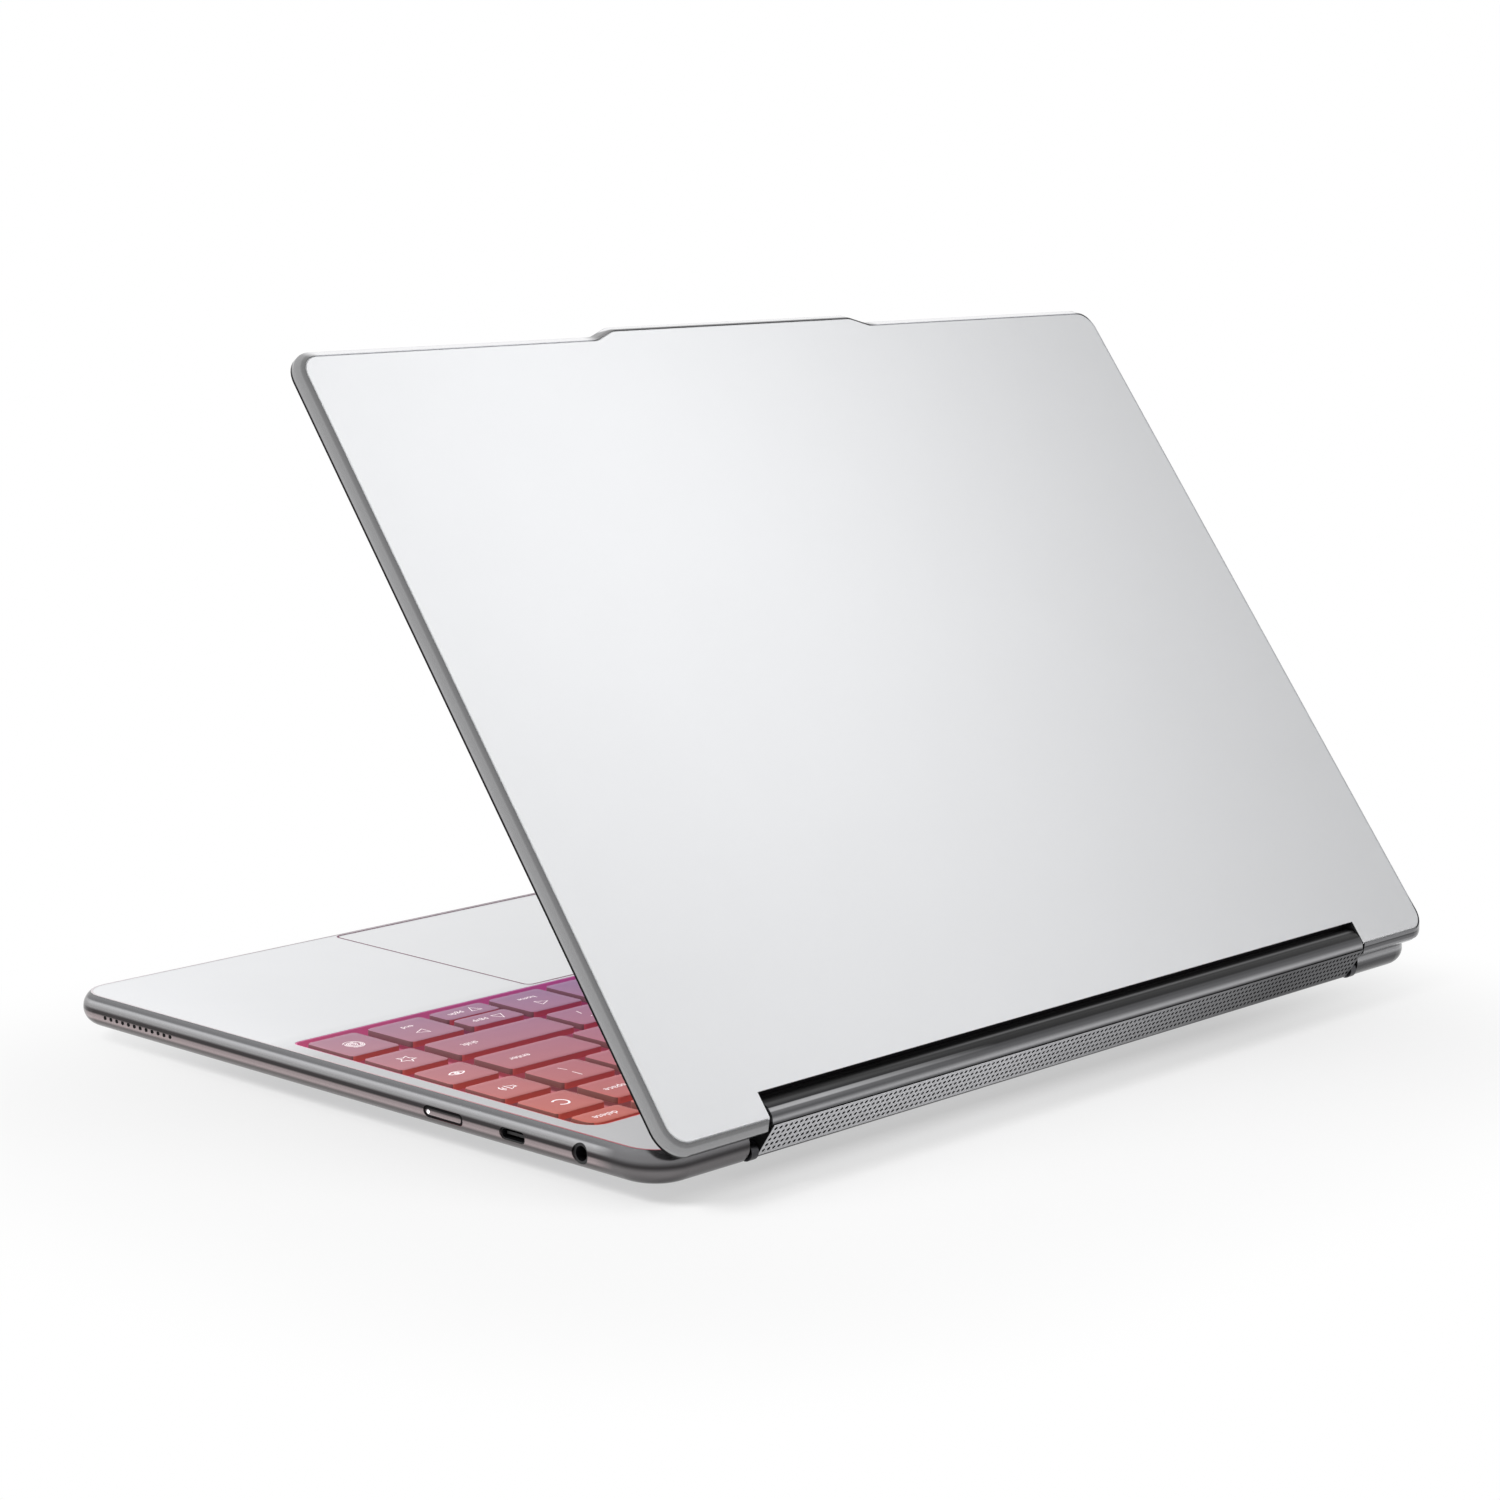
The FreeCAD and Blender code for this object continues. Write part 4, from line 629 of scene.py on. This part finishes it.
def addCap(shape, x, y, top, rearRight=None):
    # rings from the foot of the cap over its rounded edge into the dish
    edge = keyForm["edge"]
    shoulder = edge * keyForm["shoulder"]
    dishInset = min(keyForm["dishInset"], (y[1] - y[0]) * keyForm["dishShare"])
    rings = []
    for inset, height in ((0, -keyForm["capDepth"]), (0, -edge), (shoulder, -shoulder), (edge, 0),
                          (dishInset, -keyForm["dish"])):
        radii = [max(keyForm["corner"] - inset, keyForm["leastCorner"])] * 4
        if rearRight:
            radii[2] = rearRight - inset
        outline = roundedOutline((x[0] + inset, x[1] - inset), (y[0] + inset, y[1] - inset), radii)
        rings.append([(px, py, top + height) for px, py in outline])
    loftRings(shape, rings, (1, 1, 0, 0), startFinish=1, endFinish=0)


keyWords = {
    "keys_function_row": ["esc"] + [f"F{number}" for number in range(1, 13)] + ["insert"],
    "keys_number_row": "`~ 1! 2@ 3# 4$ 5% 6^ 7& 8* 9( 0) -_ =+ backspace".split(),
    "keys_upper_letters": ["tab"] + list("QWERTYUIOP") + ["[{", "]}", "\\|"],
    "keys_home_letters": ["caps lock"] + list("ASDFGHJKL") + [";:", "'\"", "enter"],
    "keys_lower_letters": ["shift"] + list("ZXCVBNM") + [",<", ".>", "/?", "shift"],
    "keys_modifier_row": ["ctrl", "fn", "menu", "alt", "alt", "ctrl"],
    "key_delete": ["delete"],
    "key_space_bar": [""],
}
wordForm = dict(letter=4.8 * mm, sign=3.8 * mm, signShift=2.8 * mm, word=3.2 * mm, small=2.7 * mm,
                side=9.5 * mm, wideKey=22 * mm, stroke=0.42 * mm)


def addWord(shape, text, size, place, height):
    curve = bpy.data.curves.new("legend", "FONT")
    curve.body, curve.size = text, size
    curve.align_x, curve.align_y = "CENTER", "CENTER"
    curve.fill_mode = "FRONT"
    curve.resolution_u = 3
    writer = newObject("legend", curve)
    mesh = plainMesh(writer)
    first = len(shape["points"])
    shape["points"] += [(v.co.x + place[0], v.co.y + place[1], height) for v in mesh.vertices]
    for polygon in mesh.polygons:
        shape["faces"].append(tuple(first + i for i in polygon.vertices))
        shape["finish"].append(0)
    bpy.data.objects.remove(writer)
    bpy.data.meshes.remove(mesh)
    bpy.data.curves.remove(curve)


def shifted(place, x, y):
    return place[0] + x, place[1] + y


iconForm = dict(
    star=(2.6 * mm, 1.3 * mm), ridges=6, ridgeFirst=0.5 * mm, ridgeStep=0.45 * mm, ridgeStroke=0.24 * mm,
    ridgeTurn=70, ridgeGap=25, ridgeGapStep=17, ridgeEnd=330, eyeRadius=3.3 * mm, eyeShift=2.2 * mm,
    pupil=0.5 * mm, pupilStroke=0.6 * mm, waves=(1.1 * mm, 2.0 * mm), waveShift=0.4 * mm, moon=2.0 * mm,
    moonWeight=1.3, horn=((-2.2, -0.6), (-1.2, -0.6), (0.1, -1.7), (0.1, 1.7), (-1.2, 0.6), (-2.2, 0.6)))


def addStar(shape, centre, height):
    points = [polar(centre, iconForm["star"][i % 2], 90 + 36 * i) for i in range(10)]
    ribbon(shape, points, wordForm["stroke"], height, closed=True)


def addFingerprint(shape, centre, height):
    for number in range(iconForm["ridges"]):
        radius = iconForm["ridgeFirst"] + iconForm["ridgeStep"] * number
        turn = iconForm["ridgeTurn"] * number
        gap = iconForm["ridgeGap"] + iconForm["ridgeGapStep"] * (number % 3)
        ridge = arcPath(centre, radius, turn + gap, turn + iconForm["ridgeEnd"], steps=16)
        ribbon(shape, ridge, iconForm["ridgeStroke"], height)


def addEye(shape, centre, height):
    radius, shift = iconForm["eyeRadius"], iconForm["eyeShift"]
    upper = arcPath(shifted(centre, 0, -shift), radius, 140, 40, steps=12)
    lower = arcPath(shifted(centre, 0, shift), radius, -40, -140, steps=12)
    ribbon(shape, upper + lower, wordForm["stroke"], height, closed=True)
    pupil = arcPath(centre, iconForm["pupil"], 0, 330, steps=11)
    ribbon(shape, pupil, iconForm["pupilStroke"], height, closed=True)


def addSpeaker(shape, centre, height):
    horn = [shifted(centre, x * mm, y * mm) for x, y in iconForm["horn"]]
    ribbon(shape, horn, wordForm["stroke"], height, closed=True)
    for radius in iconForm["waves"]:
        wave = arcPath(shifted(centre, iconForm["waveShift"], 0), radius, -45, 45, steps=8)
        ribbon(shape, wave, wordForm["stroke"], height)


def addCrescent(shape, centre, height):
    moon = arcPath(centre, iconForm["moon"], 40, 320, steps=18)
    ribbon(shape, moon, wordForm["stroke"] * iconForm["moonWeight"], height)


icons = {"key_fingerprint": addFingerprint, "key_favourite": addStar, "key_camera": addEye,
         "key_sound": addSpeaker, "key_mode": addCrescent}
arrows = {"key_arrow_left": (180, "home"), "key_arrow_right": (0, "end"), "key_arrow_up": (90, "pgup"),
          "key_arrow_down": (270, "pgdn")}
# places of the mark and the word, side by side on a short key and stacked on the others
arrowForm = dict(shortKey=10 * mm, reach=2.1 * mm, corners=(0, 125, 235),
                 beside=((-3.4 * mm, 0), (2.8 * mm, 0)), stacked=((0, 2.4 * mm), (0, -3.2 * mm)))


def addArrow(shape, node, centre, depth, height):
    angle, word = arrows[node]
    mark, label = arrowForm["beside" if depth < arrowForm["shortKey"] else "stacked"]
    middle = shifted(centre, *mark)
    points = [polar(middle, arrowForm["reach"], angle + turn) for turn in arrowForm["corners"]]
    ribbon(shape, points, wordForm["stroke"], height, closed=True)
    addWord(shape, word, wordForm["small"], shifted(centre, *label), height)


def addLegend(shape, node, number, x, y, height):
    centre = (sum(x) / 2, sum(y) / 2)
    if node in icons:
        icons[node](shape, centre, height)
    elif node in arrows:
        addArrow(shape, node, centre, y[1] - y[0], height)
    else:
        word = keyWords[node][number]
        if len(word) == 1:
            addWord(shape, word, wordForm["letter"], centre, height)
        elif len(word) == 2 and not word[0].isalpha():
            for sign, shift in zip(word, (-wordForm["signShift"], wordForm["signShift"])):
                addWord(shape, sign, wordForm["sign"], shifted(centre, 0, shift), height)
        elif word:
            wide = x[1] - x[0] > wordForm["wideKey"]
            side = wordForm["side"] if wide else (x[1] - x[0]) / 2
            place = x[1] - side if centre[0] > 0 else x[0] + side
            addWord(shape, word, wordForm["word"], (place, centre[1]), height)


def makeKeys():
    count = 0
    for node in sorted(cadNodes):
        if not node.startswith("key") or node == "keyboard_tray":
            continue
        low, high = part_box(node)
        y, top = (low.y, high.y), high.z + keyForm["capLift"]    # the caps stand a little above the deck
        rearRight = keyForm["deleteCorner"] if node == "key_delete" else None
        caps, legends = newShape(), newShape()
        for number, x in enumerate(capSpans(node)):
            addCap(caps, x, y, top, rearRight)
            addLegend(legends, node, number, x, y, top - keyForm["dish"] + keyForm["legendLift"])
            count += 1
        sides = [paint["keyTop"], paint["keyWallPaintedGlow"], paint["keyWallPaintedShade"]]
        piece = makePiece("caps." + node, caps, bodyOf[node], sides, smoothAngle=50)
        for polygon in piece.data.polygons:
            if polygon.material_index == 1 and abs(polygon.normal.x) > abs(polygon.normal.y):
                polygon.material_index = 2    # walls that look left or right take the darker painted shade
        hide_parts(node)
        if legends["points"]:
            makePiece("legends." + node, legends, bodyOf[node], [paint["legendInkAndGlow"]])
    print("keycaps:", count)


makeWellPan()
makeKeys()

# thin painted lines where deck and touchpad end: a pink painted reflection along the deck's edge and a painted
# shade in the touchpad's gap

lineForm = dict(width=0.6 * mm, lift=0.03 * mm, touchRadius=2.1 * mm, deckRadius=8.8 * mm,
                rearHalf=126.0 * mm)


def makeEdgeLines():
    low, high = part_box("touchpad")
    deckLow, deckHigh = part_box("deck_plate")
    height = deckHigh.z + lineForm["lift"]
    shape = newShape()
    touch = roundedOutline((low.x, high.x), (low.y, high.y), [lineForm["touchRadius"]] * 4)
    ribbon(shape, touch, lineForm["width"], height, closed=True)
    makePiece("touchGapShade", shape, "base", [paint["touchGapShadeAndReflection"]])
    shape = newShape()
    deck = roundedOutline((deckLow.x, deckHigh.x), (deckLow.y, deckHigh.y), [lineForm["deckRadius"]] * 4)
    rear, gapHalf = deckHigh.y - tiny, lineForm["rearHalf"]
    path = [point for point in deck if point[1] <= rear or abs(point[0]) >= gapHalf]
    startAt = max(range(len(path)), key=lambda i: (path[i][1], -path[i][0]))
    ribbon(shape, path[startAt:] + path[:startAt], lineForm["width"], height)
    # the deck's edge line is a painted reflection
    makePiece("deckEdgeReflection", shape, "base", [paint["edgeShadeAndReflection"]])


makeEdgeLines()
print("keyboard deck done")


# geometry node trees for what repeats

def repeatTree(name, inputs):
    return newTree(name, "GeometryNodeTree", {"Geometry": "geometry", **inputs, "Finish": "finish"},
                   {"Geometry": "geometry"})


def endTree(tree, ins, outs, points, instance):
    # one copy on each point, made real and given its finish
    copies = addNode(tree, "GeometryNodeInstanceOnPoints", {"Points": points, "Instance": instance})
    real = addNode(tree, "GeometryNodeRealizeInstances", {0: copies.outputs[0]})
    finish = addNode(tree, "GeometryNodeSetMaterial", {
        "Geometry": real.outputs[0], "Material": ins["Finish"]})
    setInputs(tree, outs, {0: finish.outputs[0]})
    return tree


def runTree(tree, name, mesh, values):
    # runs a tree on a mesh and gives back the plain result
    carrier = newObject(name, mesh)
    modifier = carrier.modifiers.new(name, "NODES")
    modifier.node_group = tree
    for item in tree.interface.items_tree:
        if item.in_out == "INPUT" and item.name in values:
            modifier[item.identifier] = values[item.name]
    result = plainMesh(carrier)
    bpy.data.objects.remove(carrier)
    result.name = name
    return result


def perforatedTree():
    tree, ins, outs = repeatTree("perforatedSheet", {
        "Length": "value", "Height": "value", "Columns": "count", "Rows": "count"})
    grid = addNode(tree, "GeometryNodeMeshGrid", {
        "Size X": ins["Length"], "Size Y": ins["Height"],
        "Vertices X": ins["Columns"], "Vertices Y": ins["Rows"]})
    return endTree(tree, ins, outs, grid.outputs["Mesh"], ins["Geometry"])


grilleForm = dict(pitch=1.78 * mm, rowPitch=1.74 * mm, hole=0.54 * mm, rows=5, depth=0.08 * mm,
                  border=0.35 * mm, proud=0.02 * mm, lap=0.02 * mm, cloth=0.1 * mm)


def holeTile():
    # one square of sheet with an eight-sided hole and its wall
    halfX, halfY = grilleForm["pitch"] / 2, grilleForm["rowPitch"] / 2
    square = [(1, 0), (1, 1), (0, 1), (-1, 1), (-1, 0), (-1, -1), (0, -1), (1, -1)]
    hole = [polar((0, 0), grilleForm["hole"], 45 * i) for i in range(8)]
    rings = [[(x * halfX, y * halfY, 0) for x, y in square]]
    rings += [[(x, y, height) for x, y in hole] for height in (0, -grilleForm["depth"])]
    shape = newShape()
    loftRings(shape, rings, (0, 0))
    mesh = bpy.data.meshes.new("holeTile")
    mesh.from_pydata(shape["points"], [], shape["faces"])
    return mesh


def grillePlane():
    # middle, size and axes of the grille's outer face at rest
    low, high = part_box("bar_grille")
    corners = []
    for vertex in cadNodes["bar_grille"].data.vertices:
        if vertex.co.x > high.x - tiny and all((vertex.co - other).length > tiny for other in corners):
            corners.append(vertex.co.copy())
    corners.sort(key=lambda corner: corner.z)
    foot = max(corners[:2], key=lambda corner: corner.y)
    head = max(corners[2:], key=lambda corner: corner.y)
    upward = (head - foot).normalized()
    outward = Vector((-1, 0, 0)).cross(upward)
    middle = (foot + head) / 2
    middle.x = 0
    return middle, high.x - low.x, (head - foot).length, upward, outward


def makeGrille():
    middle, length, height, upward, outward = grillePlane()
    right = upward.cross(outward)
    matrix = Matrix.Translation(middle) @ Matrix((right, upward, outward)).transposed().to_4x4()
    pitch, rowPitch, rows = grilleForm["pitch"], grilleForm["rowPitch"], grilleForm["rows"]
    columns = int((length - 2 * grilleForm["border"]) / pitch)
    mesh = runTree(perforatedTree(), "grilleSheet", holeTile(), {
        "Length": (columns - 1) * pitch, "Height": (rows - 1) * rowPitch, "Columns": columns, "Rows": rows,
        "Finish": paint["sheetSteel"]})
    mesh.transform(matrix)
    sheet = placePiece("grilleSheet", mesh, "bar")
    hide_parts("bar_grille")
    outer = (length / 2, height / 2)
    inner = (columns * pitch / 2 - grilleForm["lap"], rows * rowPitch / 2 - grilleForm["lap"])
    back, front = -grilleForm["depth"], grilleForm["proud"]
    border = newShape()
    levels = ((outer, back), (outer, front), (inner, front), (inner, back))
    loftRings(border, [boxRing(*half, z) for half, z in levels], (0, 0, 0))
    makePiece("grilleBorder", border, "bar", [paint["sheetSteel"]], matrix)
    # near-black cloth just behind the holes carries the painted shade of the hollow behind the grille
    cloth = newShape()
    loftRings(cloth, [boxRing(*outer, back - grilleForm["cloth"]), boxRing(*outer, back)], (0,), 0, 0)
    makePiece("grilleCloth", cloth, "bar", [paint["speakerClothPaintedShade"]], matrix)
    print("grille holes:", columns * rows)


makeGrille()

noseForm = dict(upperCentre=8.5 * mm, upperRadius=4.8 * mm, lowerCentre=8.4 * mm, lowerRadius=4.5 * mm)


def noseAt(height):
    # x of the rim's nose at one height, on the right-hand side
    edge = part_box("base_frame")[1].x
    part = "upper" if height > noseForm["upperCentre"] else "lower"
    centre, radius = noseForm[part + "Centre"], noseForm[part + "Radius"]
    return edge - radius + math.sqrt(radius ** 2 - min(abs(height - centre), radius) ** 2)


micForm = dict(first=-92.28 * mm, pitch=2.4 * mm, count=12, radius=0.58 * mm, sides=14, height=7.8 * mm,
               proud=0.03 * mm)


def micTree():
    tree, ins, outs = repeatTree("micRow", {
        "Count": "count", "Start": "vector", "Step": "vector", "Radius": "value", "Sides": "count"})
    line = addNode(tree, "GeometryNodeMeshLine", {
        "Count": ins["Count"], "Start Location": ins["Start"], "Offset": ins["Step"]})
    disc = addNode(tree, "GeometryNodeMeshCircle", {
        "Vertices": ins["Sides"], "Radius": ins["Radius"]}, fill_type="NGON")
    turned = addNode(tree, "GeometryNodeTransform", {
        "Geometry": disc.outputs[0], "Rotation": (0, math.radians(90), 0)})
    return endTree(tree, ins, outs, line.outputs[0], turned.outputs[0])


def makeMics():
    # black discs on the nose stand for the microphone holes: their painted shade
    edge = noseAt(micForm["height"]) + micForm["proud"]
    mesh = runTree(micTree(), "micHoles", bpy.data.meshes.new("micSeed"), {
        "Count": micForm["count"], "Start": (edge, micForm["first"], micForm["height"]),
        "Step": (0, micForm["pitch"], 0), "Radius": micForm["radius"], "Sides": micForm["sides"],
        "Finish": paint["recessPaintedShade"]})
    placePiece("micHoles", mesh, "base")


makeMics()

screwForm = dict(radius=2.0 * mm, sides=24, recess=0.9 * mm, recessSides=6, thick=0.30 * mm,
                 proud=0.02 * mm, insetX=26 * mm, insetFront=34 * mm, insetRear=38 * mm, sink=0.12 * mm)


def screwTree():
    tree, ins, outs = repeatTree("coverScrews", {"Radius": "value", "Thickness": "value", "Sides": "count"})
    head = addNode(tree, "GeometryNodeMeshCylinder", {
        "Vertices": ins["Sides"], "Radius": ins["Radius"], "Depth": ins["Thickness"]})
    return endTree(tree, ins, outs, ins["Geometry"], head.outputs[0])


def makeScrews():
    low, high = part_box("bottom_cover")
    across = (low.x + screwForm["insetX"], 0, high.x - screwForm["insetX"])
    along = (low.y + screwForm["insetFront"], high.y - screwForm["insetRear"])
    places = [(x, y, low.z + screwForm["sink"]) for x in across for y in along]
    thick, proud = screwForm["thick"], screwForm["proud"]
    tree = screwTree()
    # the dark socket discs are painted shade in the screw recesses
    for name, radius, depth, sides, finish in (
            ("coverScrews", "radius", thick, "sides", "screwSteel"),
            ("screwSockets", "recess", thick + proud, "recessSides", "recessPaintedShade")):
        seeds = bpy.data.meshes.new(name)
        seeds.from_pydata(places, [], [])
        mesh = runTree(tree, name, seeds, {
            "Radius": screwForm[radius], "Thickness": depth, "Sides": screwForm[sides],
            "Finish": paint[finish]})
        placePiece(name, mesh, "base")


makeScrews()
print("repeats done")

# small pieces: power key and its light, camera lens, notch lip

buttonForm = dict(length=13.2 * mm, height=2.8 * mm, roundness=0.98, gap=0.55 * mm, edge=0.16 * mm,
                  depth=1.6 * mm, sink=0.02 * mm, topShare=0.3, joint=0.10 * mm, jointInset=0.03 * mm,
                  y=35.12 * mm, z=7.85 * mm)


def slotRing(inset, sink):
    # slot-shaped ring that follows the nose
    half, tall = buttonForm["length"] / 2 - inset, buttonForm["height"] / 2 - inset
    outline = roundedOutline((-half, half), (-tall, tall), [tall * buttonForm["roundness"]] * 4, steps=5)
    places = [(buttonForm["y"] + y, buttonForm["z"] + z) for y, z in outline]
    return [(noseAt(z) - sink, y, z) for y, z in places]


def makePowerKey():
    gap, edge, sink = buttonForm["gap"], buttonForm["edge"], buttonForm["sink"]
    shape = newShape()
    loftRings(shape, [slotRing(gap, buttonForm["depth"]), slotRing(gap, edge), slotRing(gap + edge, sink),
                      slotRing(gap + buttonForm["height"] * buttonForm["topShare"], sink)],
              (0, 0, 0), startFinish=0, endFinish=0)
    key = makePiece("powerKey", shape, "power_button", [paint["baseRim"]])
    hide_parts("power_button")
    # dark ring in the gap round the key: painted shade in the slot
    joint = newShape()
    insets = (buttonForm["jointInset"], gap - buttonForm["jointInset"])
    loftRings(joint, [slotRing(inset, buttonForm["joint"]) for inset in insets], (0,))
    makePiece("powerJoint", joint, "base", [paint["recessPaintedShade"]])


smallForm = dict(lampRadius=0.45 * mm, lampInset=1.6 * mm, lampSink=0.04 * mm, lampThick=0.06 * mm,
                 lensRadius=1.3 * mm, lensDown=5.0 * mm, lensLift=0.03 * mm)


def addDisc(shape, centre, radius, first, second, normalLift, steps=20):
    outline = []
    for i in range(steps):
        angle = 2 * math.pi * i / steps
        outline.append(centre + first * (radius * math.cos(angle)) + second * (radius * math.sin(angle)))
    loftRings(shape, [outline, [point + normalLift for point in outline]], (0,), 0, 0)


def makePowerLight():
    low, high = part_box("power_button")
    lamp = newShape()
    middle = (low.z + high.z) / 2
    front = buttonForm["y"] - buttonForm["length"] / 2
    centre = Vector((noseAt(middle) - smallForm["lampSink"], front + smallForm["lampInset"], middle))
    lift = Vector((smallForm["lampThick"], 0, 0))
    addDisc(lamp, centre, smallForm["lampRadius"], Vector((0, 1, 0)), Vector((0, 0, 1)), lift)
    makePiece("powerLight", lamp, "power_button", [paint["powerLamp"]])


def makeCameraLens():
    glass = cadNodes["display_glass"].data.vertices
    face = min((vertex.co - lidAxis).dot(lidNormal) for vertex in glass)
    reach = max((vertex.co - lidAxis).dot(lidUp) for vertex in glass)
    lens = newShape()
    centre = lidAxis + lidUp * (reach - smallForm["lensDown"]) + lidNormal * face
    centre.x = 0
    lift = -lidNormal * smallForm["lensLift"]
    addDisc(lens, centre, smallForm["lensRadius"], Vector((-1, 0, 0)), lidUp, lift)
    makePiece("cameraLens", lens, "lid", [paint["lensGlass"]])


lipForm = dict(half=124.1 * mm, top=6.4 * mm, bottom=5.5 * mm, inside=-2.65 * mm, outside=-2.1 * mm,
               edge=0.12 * mm)


def makeNotchLip():
    # soft lip along the notch that closes the slit between lid and bar
    top, bottom, edge = lipForm["top"], lipForm["bottom"], lipForm["edge"]
    inside, outside = lipForm["inside"], lipForm["outside"]
    corners = ((top, inside), (bottom + edge, inside), (bottom, inside + edge), (bottom, outside - edge),
               (bottom + edge, outside), (top, outside))
    rings = []
    for x in (-lipForm["half"], lipForm["half"]):
        rings.append([lidAxis + Vector((x, 0, 0)) + lidUp * up + lidNormal * out for up, out in corners])
    shape = newShape()
    loftRings(shape, rings, (0,), 0, 0)
    makePiece("notchLip", shape, "lid", [paint["darkTrim"]])


makePowerKey()
makePowerLight()
makeCameraLens()
makeNotchLip()


# floor, lights and camera

# away from the object the floor is plain white; near its footprint the white emission is weaker and the real
# shadow shows through, a painted shade round the object
stageForm = dict(floor=6.0, reach=0.14, middle=(0.05, 0.04, 0), half=(0.105, 0.06, 0),
                 tone=(0.97, 0.97, 0.97, 1), lift=0.62, edgeShadeAndReflection=0.83, world=0.325)


def seenRays(tree):
    # one for rays that show the surface, zero for rays that carry its light
    path = tree.nodes.new("ShaderNodeLightPath").outputs
    direct = mathNode(tree, "MAXIMUM", path["Is Camera Ray"], path["Is Glossy Ray"])
    return mathNode(tree, "MAXIMUM", direct, path["Is Transmission Ray"])


def makeFloor():
    mesh = bpy.data.meshes.new("studioFloor")
    mesh.from_pydata(boxRing(stageForm["floor"], stageForm["floor"], 0), [], [(0, 1, 2, 3)])
    floor = newObject("studioFloor", mesh)
    material = bpy.data.materials.new("studioFloor")
    material.use_nodes = True
    tree = material.node_tree
    tree.nodes.clear()
    away = tree.nodes.new("ShaderNodeTexCoord").outputs["Object"]
    for operation, *value in (("SUBTRACT", stageForm["middle"]), ("ABSOLUTE",),
                              ("SUBTRACT", stageForm["half"]), ("MAXIMUM", (0, 0, 0))):
        away = vectorNode(tree, operation, away, *value).outputs[0]
    away = vectorNode(tree, "LENGTH", away).outputs["Value"]
    # fades from the footprint: a painted darkening near it, plain white away from it
    fades = []
    for start in (stageForm["lift"], stageForm["edgeShadeAndReflection"]):
        fades.append(addNode(tree, "ShaderNodeMapRange", {
            "Value": away, "From Min": 0, "From Max": stageForm["reach"], "To Min": start, "To Max": 1},
            interpolation_type="SMOOTHSTEP").outputs["Result"])
    matte = addNode(tree, "ShaderNodeBsdfDiffuse", {"Color": stageForm["tone"]})
    white = addNode(tree, "ShaderNodeEmission", {"Strength": fades[1]})
    mix = addNode(tree, "ShaderNodeMixShader", {
        0: product(tree, fades[0], seenRays(tree)), 1: matte.outputs[0], 2: white.outputs[0]})
    addNode(tree, "ShaderNodeOutputMaterial", {"Surface": mix.outputs[0]})
    mesh.materials.append(material)


def makeWorld():
    world = bpy.data.worlds.new("studio")
    bpy.context.scene.world = world
    world.use_nodes = True
    tree = world.node_tree
    strength = mathNode(tree, "MULTIPLY_ADD", seenRays(tree), 1.0 - stageForm["world"], stageForm["world"])
    setInputs(tree, tree.nodes["Background"], {"Color": (1, 1, 1, 1), "Strength": strength})


lamps = {
    "lidLamp": dict(place=(0.08, 0.192, 0.3165), aim=(0.08, -0.008, 0.1665), size=0.25, power=0.46),
    "deckLamp": dict(place=(1.0, -0.68, 1.25), aim=(0.1, -0.05, 0.01), size=0.72, power=24.4),
}


def makeLamps():
    for name, form in lamps.items():
        light = bpy.data.lights.new(name, "AREA")
        light.size = form["size"]
        light.energy = form["power"]
        lamp = newObject(name, light)
        lamp.location = form["place"]
        lamp.visible_glossy = False    # the polished rims mirror the plain room only
        direction = Vector(form["aim"]) - Vector(form["place"])
        lamp.rotation_euler = direction.to_track_quat("-Z", "Y").to_euler()


cameraForm = dict(
    place=(0.72272, 0.63827, 0.24629), right=(-0.67077, 0.74149, 0.0161), down=(0.09988, 0.11182, -0.9887),
    forward=(-0.73491, -0.66158, -0.14907), focal=3612.9, imageSize=1500, middleRow=640, sensor=36.0,
    nearest=0.01)


def makeCamera():
    size, sensor = cameraForm["imageSize"], cameraForm["sensor"]
    data = bpy.data.cameras.new("photoCamera")
    data.sensor_width = sensor
    data.lens = cameraForm["focal"] / size * sensor
    data.shift_y = (cameraForm["middleRow"] - size / 2) / size
    data.clip_start = cameraForm["nearest"]
    camera = newObject("photoCamera", data)
    axes = (Vector(cameraForm["right"]), -Vector(cameraForm["down"]), -Vector(cameraForm["forward"]))
    camera.matrix_world = Matrix.Translation(cameraForm["place"]) @ Matrix(axes).transposed().to_4x4()
    bpy.context.scene.camera = camera


makeFloor()
makeWorld()
makeLamps()
makeCamera()
bpy.context.scene.view_settings.view_transform = "Standard"
print("studio ready")
